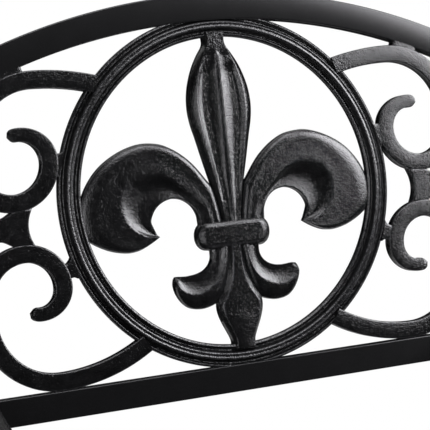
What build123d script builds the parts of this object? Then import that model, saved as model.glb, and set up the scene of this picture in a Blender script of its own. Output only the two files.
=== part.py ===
"""Garden armchair of welded flat-sided steel tube, with a cast fleur-de-lis medallion in its arched back.

Millimetres, +Z up. The chair faces -Y, and left and right are as seen from the front, so right is +X.
The origin is on the floor, under the middle of the chair's box. The back leans away from the sitter, and
its pieces are drawn in the back's own plane: x to the right, y up the back, z towards the sitter, with
the origin at the centre of the ring, in the middle of the tube's depth.
"""
import os
from math import asin, atan2, cos, degrees, radians, sin, sqrt, tan

from build123d import *

os.makedirs("parts", exist_ok=True)

# Flat-sided tube of the frame, and the gap left for the weld between two pieces
tube = 23.4
tube_depth = 12.0
tube_corner = 1.2
tube_wall = 1.5
weld_gap = 0.15

# Whole chair
back_inner_width = 460.6
seat_height = 440.0
seat_depth = 430.0
arm_height = 630.0
recline = 15.9
rear_leg_splay = 10.0
post_bend_height = 480.0
post_bend_radius = 120.0

# Back panel: lower rail's middle below the armrests' top, and how deep the ring sits in the arch and the rail
rail_below_arm = 28.091
arch_inner_radius = 529.1
arch_seat = 5.7
rail_seat_depth = 2.6

# Ring of the medallion: a bead at each rim, coves, and a double ridge along the middle
ring_outer_radius = 153.2
ring_width = 20.0
ring_bead = 3.6
ring_bead_height = 5.6
ring_cove_height = 3.9
ring_ridge = 3.8
ring_ridge_height = 7.8
ring_groove = 1.3

# Fleur-de-lis, right half: drawn for a ring of this inner radius, and scaled to the ring. Middle petal
fleur_drawn_radius = 133.2
fleur = (ring_outer_radius - ring_width) / fleur_drawn_radius
petal_height = 7.2
petal_half_width = 28.4 * fleur
petal_widest = 73.0 * fleur
petal_neck = 9.6 * fleur
petal_neck_foot = 125.0 * fleur
petal_shoulder = Vector(21.0, 107.0) * fleur
petal_waist = Vector(23.6, 46.0) * fleur
petal_heel = Vector(14.8, 7.0) * fleur
petal_foot = 7.6 * fleur
petal_bevel = 3.2 * fleur
flute_offset = 12.6 * fleur
flute_top = 112.0 * fleur
flute_foot = 8.0 * fleur
flute_bottom = 8.0 * fleur
flute_half_width = 5.6 * fleur
flute_depth = 2.0
flute_slope = 50.0
midrib_half_width = 1.9
midrib_height = 1.0

# Fleur-de-lis, right half: side petal, curled round a round eye, with a rim about its hollow
side_petal_height = 6.4
side_petal_rim = 5.4 * fleur
side_petal_hollow = 2.6
side_petal_bevel = 2.0 * fleur
side_petal_notch = Vector(13.6, 1.0) * fleur
side_petal_crown = Vector(50.0, 40.8) * fleur
side_petal_peak = Vector(73.4, 46.6) * fleur
side_petal_back = Vector(97.0, 40.6) * fleur
side_petal_end = Vector(131.4, 4.2) * fleur
side_petal_join = 30.0 * fleur
side_petal_sag = Vector(97.0, -44.3) * fleur
side_petal_tip = Vector(67.6, -33.4) * fleur
eye_centre = Vector(51.9, -24.1) * fleur
eye_radius = 21.8 * fleur
eye_tip_angle = 12.0

# Fleur-de-lis: band, lower curls and tail
band_top = -25.2 * fleur
band_height = 24.6 * fleur
band_half_width = 32.8 * fleur
band_shoulder = 26.8 * fleur
band_thickness = 8.0
band_round = 2.4
curl_height = 5.8
curl_hollow = 2.6
curl_neck = 21.6 * fleur
curl_throat = Vector(26.2, -63.3) * fleur
curl_top = Vector(45.0, -69.8) * fleur
curl_brow = Vector(52.8, -69.2) * fleur
curl_tip = Vector(57.4, -76.0) * fleur
curl_cheek = Vector(53.8, -88.5) * fleur
curl_chin = Vector(46.6, -96.4) * fleur
curl_bottom = Vector(38.5, -99.0) * fleur
curl_root = Vector(20.0, -95.4) * fleur
crest_start = 13.0 * fleur
crest_bend = Vector(19.5, -73.0) * fleur
crest_low = Vector(36.0, -85.6) * fleur
crest_end = Vector(56.0, -72.5) * fleur
tail_throat = 4.8 * fleur
tail_flank = Vector(9.4, -74.0) * fleur
tail_widest = Vector(20.4, -97.5) * fleur
tail_taper = Vector(16.4, -114.0) * fleur
tail_neck = 10.2 * fleur
tail_height = 6.8
tail_bevel = 2.6 * fleur

# Scroll brackets beside the ring: flat bar bent into two spirals, tied to the post by a stem. The turns are
# drawn for the rooms named here, and shrink with the room that ring, post, arch and rail leave them
scroll_width = 15.0
scroll_thickness = 6.0
scroll_lift = 0.5
scroll_tip_width = 11.5
scroll_end_turn = 97.0
scroll_post_gap = 1.2
scroll_inset = 12.0
scroll_drawn_room = 64.8
upper_place = 0.71646
upper_arch_gap = 6.013
upper_foot_level = 20.2
upper_drawn_height = 100.2
upper_root_reach = 0.63
upper_start_radius = 200.0
upper_outer_radius = 56.6
upper_inner_radius = 32.3
upper_heel_radius = 32.5
upper_eye_radius = 23.5
lower_foot_level = 21.6
lower_drawn_height = 107.8
lower_root_reach = 0.572
lower_start_radius = 146.0
lower_outer_radius = 56.6
lower_inner_radius = 35.8
lower_heel_radius = 30.0
lower_eye_radius = 21.0
lower_rail_gap = 0.3
stem_height = 20.0
stem_level = -12.8 * fleur
stem_offset = 7.3
stem_collar = 16.0
stem_hollow = 15.0
lug = 14.0
lug_overlap = 7.7
upper_lug_drop = -4.9
lower_lug_drop = 11.4
arch_lug_offset = Vector(14.0, 4.4)

# Armrests: flat tube with a turned-down front end, closed by a cap
arm_width = 40.0
arm_thickness = 20.0
arm_corner = 2.5
arm_overhang = 14.76
arm_bend_radius = 70.0
arm_bend_angle = 35.0
arm_tip = 16.0
arm_cap = 3.0
arm_cap_plug = 12.0

# Seat slats, and the brace beneath them
slat_count = 9
slat_width = 30.0
slat_pitch = 47.0
slat_thickness = 4.0
slat_bend_radius = 24.0
slat_bend_angle = 65.0
brace_height = 25.0
brace_thickness = 5.0

# Foot glides
glide_base = 8.0
glide_plug_length = 22.0
glide_bevel = 2.0
plug_clearance = 0.2

# Heights and places that follow
arch_rise = ring_outer_radius - arch_seat
lower_rail_drop = ring_outer_radius - rail_seat_depth
lean, splay, arm_dip = radians(recline), radians(rear_leg_splay), radians(arm_bend_angle)
half_inner = back_inner_width / 2
post_x = half_inner + tube / 2
ring_height = arm_height - rail_below_arm + (lower_rail_drop + tube / 2) * cos(lean)
rail_top = seat_height - slat_thickness
rail_level = rail_top - tube / 2
bend_setback = (ring_height - post_bend_height) * tan(lean)
front_leg_setback = bend_setback + seat_depth
arm_nose = (arm_bend_radius + arm_thickness / 2) * sin(arm_dip) + (arm_tip + arm_cap) * cos(arm_dip)
front_reach = front_leg_setback + tube_depth / 2 + arm_overhang + arm_nose
back_reach = (arch_rise + tube - tube_corner) * sin(lean) + tube_depth / 2 * cos(lean)
ring_y = (front_reach - back_reach) / 2
bend_y = ring_y - bend_setback
front_leg_y = ring_y - front_leg_setback
arm_x = half_inner + arm_width / 2
arm_level = arm_height - arm_thickness / 2

back = Plane(origin=(0, ring_y, ring_height), x_dir=(1, 0, 0), z_dir=(0, -cos(lean), sin(lean)))
ring_axis = Axis(back.origin, back.z_dir)
ring_mid = ring_outer_radius - ring_width / 2
ring_inner_radius = ring_outer_radius - ring_width
arch_centre = arch_rise - arch_inner_radius
arch_mid_radius = arch_inner_radius + tube / 2
rail_seat = Plane(back.from_local_coords(Vector(0, -lower_rail_drop)), x_dir=back.x_dir, z_dir=back.y_dir)


def arch_level(x, radius):
    """Height above the ring's centre of a circle round the arch's centre, at x from the middle."""
    return arch_centre + sqrt(radius**2 - x**2)


def leg_y(z):
    """Centre of the splayed rear leg at a height above the floor."""
    return bend_y + (post_bend_height - z) * tan(splay)


mitre_in = Vector(half_inner, arch_level(half_inner, arch_inner_radius))
mitre_out = Vector(half_inner + tube, arch_level(half_inner + tube, arch_inner_radius + tube))


def mitre_plane(side):
    """Plane of the weld between the arch and the right (1) or left (-1) post, facing up out of the post."""
    run = (mitre_out - mitre_in).normalized()
    return Plane(
        origin=back.from_local_coords(Vector(mitre_in.X * side, mitre_in.Y)),
        x_dir=back.z_dir,
        z_dir=back.x_dir * -run.Y * side + back.y_dir * run.X,
    )


def tube_outline(gap=0.0):
    """Outside of the tube with its face along the sketch's x, grown by a gap, drawn on the sketch in use."""
    Rectangle(tube + 2 * gap, tube_depth + 2 * gap)
    chamfer(vertices(), length=tube_corner)


def tube_section():
    """The tube with its bore, drawn on the sketch in use."""
    tube_outline()
    Rectangle(tube - 2 * tube_wall, tube_depth - 2 * tube_wall, mode=Mode.SUBTRACT)


# Arched top rail: tube rolled to a radius and mitred to the posts at both ends
arch_turn = 2 * degrees(atan2(half_inner + 2 * tube, mitre_in.Y - arch_centre))
arch_axis = Axis(back.from_local_coords(Vector(0, arch_centre)), back.z_dir)
with BuildPart() as back_top_rail:
    spoke = back.x_dir * sin(radians(arch_turn / 2)) + back.y_dir * cos(radians(arch_turn / 2))
    arch_end = Plane(arch_axis.position + spoke * arch_mid_radius, x_dir=spoke, z_dir=spoke.cross(back.z_dir))
    with BuildSketch(arch_end):
        tube_section()
    revolve(axis=arch_axis, revolution_arc=arch_turn)
    split(bisect_by=mitre_plane(1), keep=Keep.TOP)
    split(bisect_by=mitre_plane(-1), keep=Keep.TOP)

# Rear legs: one bent tube each, which carries on above the seat as the post of the back
post_top = back.from_local_coords(Vector(0, mitre_out.Y + tube))
with BuildLine(Plane.YZ.offset(post_x)) as leg_run:
    FilletPolyline(
        (post_top.Y, post_top.Z),
        (bend_y, post_bend_height),
        (leg_y(0), 0),
        radius=post_bend_radius,
    )
leg_top = Plane(leg_run.line @ 0, x_dir=(1, 0, 0), z_dir=leg_run.line % 0)
with BuildPart() as rear_leg_right:
    with BuildSketch(leg_top):
        tube_section()
    sweep(path=leg_run.line)
    split(bisect_by=mitre_plane(1), keep=Keep.BOTTOM)
    split(bisect_by=Plane.XY.offset(glide_base), keep=Keep.TOP)

with BuildPart() as rear_leg_left:
    mirror(rear_leg_right.part, about=Plane.YZ)

# Room that the rear leg on the right takes up, for the ends of what is welded to it
with BuildPart() as rear_leg_room:
    with BuildSketch(leg_top):
        tube_outline(weld_gap)
    sweep(path=leg_run.line)

# Straight rail under the medallion, between the posts
rail_reach = half_inner - weld_gap
lower_rail_middle = Plane(
    back.from_local_coords(Vector(0, -lower_rail_drop - tube / 2)),
    x_dir=back.y_dir,
    z_dir=back.x_dir,
)
with BuildPart() as back_lower_rail:
    with BuildSketch(lower_rail_middle):
        tube_section()
    extrude(amount=rail_reach, both=True)

# Ring: half of the moulding from the middle ridge out to the rim, mirrored and turned about the centre
with BuildPart() as ring:
    with BuildSketch(Plane(back.origin, x_dir=back.x_dir, z_dir=-back.y_dir)):
        with BuildLine():
            rim, foot = ring_outer_radius, ring_mid + ring_ridge
            Polyline(
                (ring_mid, 0),
                (rim, 0),
                (rim - ring_bead / 2, ring_bead_height),
                (foot, ring_cove_height),
                (ring_mid + ring_ridge / 2, ring_ridge_height),
                (ring_mid, ring_ridge_height - ring_groove),
                close=True,
            )
        make_face()
        mirror(about=Plane.YZ.offset(ring_mid))
    revolve(axis=ring_axis)

# Middle petal: a bevelled leaf with a flute on each side of a sharp midrib
petal_root = ring_inner_radius + ring_bead
with BuildPart() as middle_petal:
    with BuildSketch(back):
        with BuildLine():
            flank = Spline(
                (petal_neck, petal_neck_foot),
                petal_shoulder,
                (petal_half_width, petal_widest),
                petal_waist,
                petal_heel,
                (petal_foot, band_top),
            )
            Polyline(flank @ 0, (petal_neck, petal_root), (0, petal_root))
            Line(flank @ 1, (0, band_top))
            mirror(about=Plane.YZ)
        make_face()
    extrude(amount=petal_height)
    leaf_face = faces().sort_by(ring_axis)[-1]
    chamfer(leaf_face.edges().filter_by(Axis.X, reverse=True), length=petal_bevel)
    with BuildSketch(back.offset(petal_height)):
        for side in (1, -1):
            with BuildLine():
                end, start = Vector(side * flute_offset, flute_top), Vector(side * flute_foot, flute_bottom)
                middle = Vector(side * flute_offset, petal_widest)
                width = Vector(side * flute_half_width)
                ThreePointArc(start, middle - width, end)
                ThreePointArc(start, middle + width, end)
            make_face()
    extrude(amount=-flute_depth, taper=flute_slope, mode=Mode.SUBTRACT)
    midrib_end = Plane(back.from_local_coords(Vector(0, petal_root)), x_dir=back.x_dir, z_dir=-back.y_dir)
    with BuildSketch(midrib_end):
        with BuildLine():
            top, foot = petal_height + midrib_height, petal_height - midrib_height
            Polyline((-midrib_half_width, foot), (0, top), (midrib_half_width, foot), close=True)
        make_face()
    extrude(amount=petal_root - band_top)

# Side petal: a leaf curled round its eye, hollowed inside a bevelled rim
with BuildPart() as side_petal:
    with BuildSketch(back) as petal_shape:
        with BuildLine():
            crown = ThreePointArc(side_petal_crown, side_petal_peak, side_petal_back)
            brow = TangentArc(crown @ 0, side_petal_notch, tangent=-(crown % 0))
            nape = TangentArc(crown @ 1, side_petal_end, tangent=crown % 1)
            inset = Vector(side_petal_end.X + ring_bead, side_petal_end.Y)
            join = Vector(sqrt(ring_inner_radius**2 - side_petal_join**2), -side_petal_join)
            jowl = ThreePointArc(join, side_petal_sag, side_petal_tip)
            Polyline(nape @ 1, inset, (inset.X, -side_petal_join), join)
            eye = CenterArc(eye_centre, eye_radius, eye_tip_angle, 180 - eye_tip_angle)
            Line(jowl @ 1, eye @ 0)
            Polyline(eye @ 1, (eye_centre.X - eye_radius, band_top), (petal_foot, band_top), brow @ 1)
        make_face()
    extrude(amount=side_petal_height)
    leaf_face = faces().sort_by(ring_axis)[-1]
    chamfer(leaf_face.edges().filter_by(GeomType.CIRCLE), length=side_petal_bevel)
    with BuildSketch(back.offset(side_petal_height)):
        add(petal_shape.sketch_local)
        offset(amount=-side_petal_rim, mode=Mode.REPLACE)
    extrude(amount=-side_petal_hollow, mode=Mode.SUBTRACT)

# Band: a cushion-shaped collar across the petals
band_foot = band_top - band_height
with BuildPart() as band:
    with BuildSketch(back):
        with BuildLine():
            for side in (1, -1):
                shoulder, cheek = side * band_shoulder, side * band_half_width
                ThreePointArc((shoulder, band_top), (cheek, band_top - band_height / 2), (shoulder, band_foot))
            for level in (band_top, band_foot):
                Line((-band_shoulder, level), (band_shoulder, level))
        make_face()
    extrude(amount=band_thickness)
    fillet(faces().sort_by(ring_axis)[-1].edges().filter_by(GeomType.LINE), radius=band_round)

# Lower curl: a leaf turned up at its tip, hollowed above its crest
with BuildPart() as lower_curl:
    with BuildSketch(back):
        with BuildLine():
            throat = ThreePointArc((curl_neck, band_foot), curl_throat, curl_top)
            Line(curl_top, curl_brow)
            ThreePointArc(curl_brow, curl_tip, curl_cheek)
            ThreePointArc(curl_cheek, curl_chin, curl_bottom)
            Line(curl_bottom, curl_root)
            Polyline(curl_root, (0, curl_root.Y), (0, band_foot), throat @ 0)
        make_face()
    extrude(amount=curl_height)
    with BuildSketch(back.offset(curl_height)):
        with BuildLine():
            crest = ThreePointArc((crest_start, band_foot), crest_bend, crest_low)
            lip = TangentArc(crest @ 1, crest_end, tangent=crest % 1)
            Polyline(lip @ 1, (curl_tip.X, curl_throat.Y), (curl_tip.X, band_foot), crest @ 0)
        make_face()
    extrude(amount=-curl_hollow, mode=Mode.SUBTRACT)

# Tail: a spade-shaped leaf that runs into the ring
with BuildPart() as tail:
    with BuildSketch(back):
        with BuildLine():
            edge = Spline(
                (tail_throat, band_foot),
                tail_flank,
                tail_widest,
                tail_taper,
                (tail_neck, -petal_root),
            )
            Line(edge @ 0, (0, band_foot))
            Line(edge @ 1, (0, -petal_root))
            mirror(about=Plane.YZ)
        make_face()
    extrude(amount=tail_height)
    chamfer(faces().sort_by(ring_axis)[-1].edges().filter_by(GeomType.BSPLINE), length=tail_bevel)

# Medallion: ring and fleur-de-lis in one casting, trimmed where it seats on the arch and on the lower rail
with BuildPart() as medallion:
    add(ring.part)
    add(middle_petal.part)
    add(tail.part)
    for petal in (side_petal.part, lower_curl.part):
        add(petal)
        mirror(petal, about=Plane.YZ)
    add(band.part)
    with BuildSketch(back):
        with Locations((0, arch_centre)):
            Circle(arch_inner_radius + tube)
            Circle(arch_inner_radius - weld_gap, mode=Mode.SUBTRACT)
    extrude(amount=2 * band_thickness, mode=Mode.SUBTRACT)
    split(bisect_by=rail_seat, keep=Keep.TOP)


def scroll(level, height, drawn_height, start_radius, root_reach, outer, inner, heel, eye, up):
    """Bar from the ring over its crown, down the post and round its eye; up is 1 or -1. Gives the outline's
    edges, the places of its crown and of its eye, and the turn's foot and left side."""
    half = scroll_width / 2
    room = (half_inner - ring_outer_radius - scroll_inset) / scroll_drawn_room
    roll = min(1.0, room, height / drawn_height)
    outer, inner, heel, eye = outer * roll, inner * roll, heel * roll, eye * roll
    flank = height - outer - inner
    crown = Vector(half_inner - scroll_post_gap - half - outer, level)
    foot = crown.X + outer - inner
    eye_middle = Vector(foot - heel + eye, crown.Y - (height - heel) * up)
    start_turn = degrees(asin((crown.X - root_reach * ring_outer_radius) / start_radius))
    turn = radians(180 - scroll_end_turn)
    spoke, ahead = Vector(cos(turn), sin(turn) * up), Vector(sin(turn), -cos(turn) * up)
    with BuildLine() as outline:
        roots, tips = [], []
        for side in (1, -1):
            top = crown + Vector(0, side * half * up)
            root = JernArc(top, (-1, 0), start_radius + side * half, start_turn * up)
            first = JernArc(top, (1, 0), outer + side * half, -90 * up)
            drop = Line(first @ 1, first @ 1 - Vector(0, flank * up))
            second = JernArc(drop @ 1, (0, -up), inner + side * half, -90 * up)
            third = JernArc(second @ 1, (-1, 0), heel + side * half, -90 * up)
            tip = eye_middle + spoke * (eye + side * scroll_tip_width / 2)
            end = TangentArc(third @ 1, tip, tangent=(0, up))
            roots.append(root @ 1)
            tips.append(end @ 1)
        Line(roots[0], roots[1])
        ThreePointArc(tips[0], eye_middle + spoke * eye + ahead * (scroll_tip_width / 2), tips[1])
    return outline.edges(), crown, eye_middle, foot, foot - heel - half


# Scroll bracket: two spirals and their stem in one casting, trimmed to the ring, the arch and the lower rail
upper_level = arch_level(upper_place * half_inner, arch_inner_radius) - upper_arch_gap - scroll_width / 2
lower_level = scroll_width / 2 - lower_rail_drop + lower_rail_gap
upper_edges, upper_crown, upper_eye, upper_foot, upper_side = scroll(
    upper_level,
    upper_level - stem_level - upper_foot_level,
    upper_drawn_height,
    upper_start_radius,
    upper_root_reach,
    upper_outer_radius,
    upper_inner_radius,
    upper_heel_radius,
    upper_eye_radius,
    1,
)
lower_edges, lower_crown, lower_eye, lower_foot, lower_side = scroll(
    lower_level,
    stem_level - lower_foot_level - lower_level,
    lower_drawn_height,
    lower_start_radius,
    lower_root_reach,
    lower_outer_radius,
    lower_inner_radius,
    lower_heel_radius,
    lower_eye_radius,
    -1,
)
with BuildPart() as scroll_bracket_right:
    with BuildSketch(back.offset(scroll_lift)):
        make_face(upper_edges)
        make_face(lower_edges)
        stem_root = upper_foot - stem_offset
        with Locations((stem_root, stem_level)):
            Rectangle(post_x - stem_root, stem_height, align=(Align.MIN, Align.CENTER))
        with Locations((stem_root, stem_level)):
            Rectangle(stem_collar, stem_height + 2 * lug / 3, align=Align.CENTER)
        with Locations((stem_root - stem_hollow, stem_level)):
            Circle(stem_hollow, mode=Mode.SUBTRACT)
        upper_tie, lower_tie = upper_eye.Y + upper_lug_drop, lower_eye.Y + lower_lug_drop
        for level, reach in ((upper_tie, upper_side), (lower_tie, lower_side)):
            with Locations((ring_mid, level)):
                Rectangle(reach + lug_overlap - ring_mid, lug, align=(Align.MIN, Align.CENTER))
        with Locations(upper_crown + arch_lug_offset):
            Rectangle(lug, lug)
        Circle(ring_outer_radius + weld_gap, mode=Mode.SUBTRACT)
        with Locations((0, arch_centre)):
            Circle(arch_inner_radius - weld_gap, mode=Mode.INTERSECT)
        with Locations((0, -lower_rail_drop)):
            Rectangle(2 * back_inner_width, tube, align=(Align.CENTER, Align.MAX), mode=Mode.SUBTRACT)
    extrude(amount=scroll_thickness)
    add(rear_leg_room.part, mode=Mode.SUBTRACT)

with BuildPart() as scroll_bracket_left:
    mirror(scroll_bracket_right.part, about=Plane.YZ)

# Armrest: flat tube from the post forward over the front leg, cut to the lean of the post
arm_straight_end = front_leg_y - tube_depth / 2 - arm_overhang
arm_bore = (arm_width - 2 * tube_wall, arm_thickness - 2 * tube_wall)
with BuildPart() as armrest_right:
    with BuildLine(Plane.YZ.offset(arm_x)) as arm_run:
        reach = Line((ring_y, arm_level), (arm_straight_end, arm_level))
        dip = JernArc(reach @ 1, (-1, 0), arm_bend_radius, arm_bend_angle)
        PolarLine(dip @ 1, arm_tip, direction=dip % 1)
    with BuildSketch(Plane(arm_run.line @ 0, x_dir=(1, 0, 0), z_dir=arm_run.line % 0)):
        Rectangle(arm_width, arm_thickness)
        chamfer(vertices(), length=arm_corner)
        Rectangle(*arm_bore, mode=Mode.SUBTRACT)
    sweep(path=arm_run.line)
    split(bisect_by=back, keep=Keep.TOP)
    add(rear_leg_room.part, mode=Mode.SUBTRACT)

# Cap that closes the armrest's front end
with BuildPart() as armrest_cap_right:
    arm_end = Plane(arm_run.line @ 1, x_dir=(1, 0, 0), z_dir=arm_run.line % 1)
    with BuildSketch(arm_end):
        Rectangle(arm_width, arm_thickness)
        chamfer(vertices(), length=arm_corner)
    extrude(amount=arm_cap)
    with BuildSketch(arm_end):
        plug = [side - 2 * plug_clearance for side in arm_bore]
        Rectangle(*plug)
    extrude(amount=-arm_cap_plug)

# Front leg: straight tube from its glide up to the underside of the armrest
with BuildPart() as front_leg_right:
    with BuildSketch(Plane((post_x, front_leg_y, glide_base))):
        tube_section()
    extrude(amount=arm_height - arm_thickness - glide_base)

with BuildPart() as armrest_left:
    mirror(armrest_right.part, about=Plane.YZ)
with BuildPart() as armrest_cap_left:
    mirror(armrest_cap_right.part, about=Plane.YZ)
with BuildPart() as front_leg_left:
    mirror(front_leg_right.part, about=Plane.YZ)

# Seat frame: front and rear rails between the legs, and side rails from front to rear
with BuildPart() as seat_front_rail:
    with BuildSketch(Plane((0, front_leg_y, rail_level), x_dir=(0, 0, 1), z_dir=(1, 0, 0))):
        tube_section()
    extrude(amount=rail_reach, both=True)

with BuildPart() as seat_rear_rail:
    with BuildSketch(Plane((0, leg_y(rail_level), rail_level), x_dir=(0, 0, 1), z_dir=(1, 0, 0))):
        tube_section()
    extrude(amount=rail_reach, both=True)

side_rail_front = front_leg_y + tube_depth / 2 + weld_gap
with BuildPart() as seat_side_rail_right:
    with BuildSketch(Plane((post_x, side_rail_front, rail_level), x_dir=(0, 0, 1), z_dir=(0, 1, 0))):
        tube_section()
    extrude(amount=leg_y(rail_level) - side_rail_front)
    add(rear_leg_room.part, mode=Mode.SUBTRACT)

with BuildPart() as seat_side_rail_left:
    mirror(seat_side_rail_right.part, about=Plane.YZ)

# Brace under the middle of the slats, between the side rails
brace_y = (front_leg_y + leg_y(rail_level)) / 2
with BuildPart() as seat_brace:
    with Locations((0, brace_y, rail_top)):
        brace_length = 2 * post_x - tube_depth
        Box(brace_length, brace_thickness, brace_height, align=(Align.CENTER, Align.CENTER, Align.MAX))

# Seat slats: flat bars from the rear rail over the front rail, turned down at the front
slat_level = rail_top + slat_thickness / 2
slats = {}
for number in range(slat_count):
    slat_x = (number - (slat_count - 1) / 2) * slat_pitch
    with BuildPart() as slat:
        with BuildLine(Plane.YZ.offset(slat_x)) as slat_run:
            slat_back = leg_y(rail_level) + tube_depth / 2
            slat_front = front_leg_y - tube_depth / 2 + tube_corner
            top = Line((slat_back, slat_level), (slat_front, slat_level))
            JernArc(top @ 1, (-1, 0), slat_bend_radius, slat_bend_angle)
        with BuildSketch(Plane(slat_run.line @ 0, x_dir=(1, 0, 0), z_dir=slat_run.line % 0)):
            Rectangle(slat_width, slat_thickness)
        sweep(path=slat_run.line)
    slats[f"seat_slat_{number + 1}"] = slat


# Foot glides: a pad as large as the tube, with a plug pushed up into it
plug_width = tube - 2 * tube_wall - 2 * plug_clearance
plug_depth = tube_depth - 2 * tube_wall - 2 * plug_clearance
with BuildPart() as foot_glide_front_right:
    with BuildSketch(Plane((post_x, front_leg_y, 0))):
        tube_outline()
    extrude(amount=glide_base)
    chamfer(faces().sort_by(Axis.Z)[0].edges(), length=glide_bevel / 2)
    with BuildSketch(Plane((post_x, front_leg_y, glide_base))):
        Rectangle(plug_width, plug_depth)
    extrude(amount=glide_plug_length)

with BuildPart() as foot_glide_rear_right:
    with BuildSketch(Plane((post_x, leg_y(glide_base), 0))):
        tube_outline()
    extrude(amount=glide_base)
    chamfer(faces().sort_by(Axis.Z)[0].edges(), length=glide_bevel / 2)
    plug_root, leg_run_up = (post_x, leg_y(glide_base), glide_base), (0, -sin(splay), cos(splay))
    plug_foot = Plane(plug_root, x_dir=(1, 0, 0), z_dir=leg_run_up)
    with BuildSketch(plug_foot.offset(-tube_depth / 2 * tan(splay))):
        Rectangle(plug_width, plug_depth)
    extrude(amount=glide_plug_length)

with BuildPart() as foot_glide_front_left:
    mirror(foot_glide_front_right.part, about=Plane.YZ)
with BuildPart() as foot_glide_rear_left:
    mirror(foot_glide_rear_right.part, about=Plane.YZ)

pieces = {
    "back_top_rail": back_top_rail,
    "back_lower_rail": back_lower_rail,
    "rear_leg_left": rear_leg_left,
    "rear_leg_right": rear_leg_right,
    "medallion": medallion,
    "scroll_bracket_left": scroll_bracket_left,
    "scroll_bracket_right": scroll_bracket_right,
    "armrest_left": armrest_left,
    "armrest_right": armrest_right,
    "armrest_cap_left": armrest_cap_left,
    "armrest_cap_right": armrest_cap_right,
    "front_leg_left": front_leg_left,
    "front_leg_right": front_leg_right,
    "seat_front_rail": seat_front_rail,
    "seat_rear_rail": seat_rear_rail,
    "seat_side_rail_left": seat_side_rail_left,
    "seat_side_rail_right": seat_side_rail_right,
    "seat_brace": seat_brace,
    **slats,
    "foot_glide_front_left": foot_glide_front_left,
    "foot_glide_front_right": foot_glide_front_right,
    "foot_glide_rear_left": foot_glide_rear_left,
    "foot_glide_rear_right": foot_glide_rear_right,
}
for name, piece in pieces.items():
    piece.part.label = name
    export_step(piece.part, f"parts/{name}.step")
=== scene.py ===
# %% [markdown]
# # A garden armchair with a fleur-de-lis back
#
# The chair is welded from black powder-coated steel tube. Its arched back holds a sand-cast medallion, a
# ring with a fleur-de-lis in it, between two cast scroll brackets. The CAD pack gives every piece its place
# and size. This lesson gives the pieces their real surfaces: each one is worked out with numpy as a
# function of two parameters, or as a section carried along a path, and stands where its CAD node stands.

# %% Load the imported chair
import bmesh
import bpy
import numpy as np
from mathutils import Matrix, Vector


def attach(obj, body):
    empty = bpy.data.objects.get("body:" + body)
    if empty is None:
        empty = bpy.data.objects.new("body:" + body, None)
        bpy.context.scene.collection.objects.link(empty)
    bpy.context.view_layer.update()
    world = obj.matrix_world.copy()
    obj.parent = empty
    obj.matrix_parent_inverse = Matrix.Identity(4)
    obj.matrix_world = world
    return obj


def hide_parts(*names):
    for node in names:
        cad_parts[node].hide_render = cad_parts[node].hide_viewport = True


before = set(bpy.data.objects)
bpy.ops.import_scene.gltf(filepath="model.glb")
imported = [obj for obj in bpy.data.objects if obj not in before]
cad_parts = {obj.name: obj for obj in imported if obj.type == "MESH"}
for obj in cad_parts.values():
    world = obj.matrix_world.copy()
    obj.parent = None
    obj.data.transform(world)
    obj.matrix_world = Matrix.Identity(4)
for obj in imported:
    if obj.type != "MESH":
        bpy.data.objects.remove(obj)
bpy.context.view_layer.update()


# %% [markdown]
# ## The plane of the back
#
# The medallion, the scrolls and both rails lie in one plane that leans away from the sitter. It is easier
# to draw them flat, in millimetres, and to lean them as they are placed: u runs to the right, v up the
# back, and w out towards the sitter, from the centre of the ring in the middle of the tube's depth.

# %% The back's plane and the chair's main sizes
MM = 0.001
LEAN = np.radians(15.9)
SPLAY = np.radians(10.0)
RING_CENTRE = np.array([0.0, 269.57, 758.0])
ACROSS = np.array([1.0, 0.0, 0.0])
UP_BACK = np.array([0.0, np.sin(LEAN), np.cos(LEAN)])
OUT = np.array([0.0, -np.cos(LEAN), np.sin(LEAN)])

# Tube, then legs and seat rails in the chair's axes (the bend of the rear leg as y and z)
TUBE_FACE, TUBE_DEPTH, TUBE_CORNER = 23.4, 12.0, 1.1
POST_X = 242.0
FRONT_LEG_Y = -239.62
BEND = np.array([190.38, 480.0])
BEND_RADIUS = 120.0
RAIL_LEVEL, RAIL_HALF_LENGTH = 424.3, 230.2
REAR_RAIL_Y = BEND[0] + (BEND[1] - RAIL_LEVEL) * np.tan(SPLAY)
GLIDE_TOP = 8.0
# Middle lines of the arch and the lower rail, in the back's plane
ARCH_CENTRE, ARCH_RADIUS, LOWER_RAIL_V = -381.6, 540.8, -162.3


def on_back(u, v, w):
    """Place in the chair: ring centre + u across + v up the back + w towards the sitter, in millimetres."""
    u, v, w = np.broadcast_arrays(u, v, w)
    return RING_CENTRE + u[..., None] * ACROSS + v[..., None] * UP_BACK + w[..., None] * OUT


print("ring centre:", on_back(0.0, 0.0, 0.0) * MM)

# %% [markdown]
# ## Ramps and curves
#
# A cast relief changes gently along a leaf: a flute fades in, and a rim grows broader. Each such change is
# a ramp, a smooth step between two places. Edges are smooth curves through a few points. Blender's own
# curves could draw them, but the heights are worked out on arrays, so the curves are arrays too.

# %% Ramps, rounds, ridges and smooth curves
def ease(t):
    """Smooth step: 0 below 0, 1 above 1, and 3t^2 - 2t^3 between."""
    t = np.clip(t, 0.0, 1.0)
    return t * t * (3.0 - 2.0 * t)


def ramp(x, start, end):
    """Smooth step over x: 0 at the start and 1 at the end, which may be the lower of the two."""
    return ease((x - start) / (end - start))


def quarter_round(t):
    """Quarter circle: 0 below 0, 1 above 1, and sqrt(1 - (1 - t)^2) between."""
    return np.sqrt(np.clip(1 - (1 - np.clip(t, 0, 1)) ** 2, 0, 1))


def ridge(distance, width):
    """A bell of height 1 and the given half width: exp(-(distance / width)^2)."""
    return np.exp(-(distance / width) ** 2)


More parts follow.
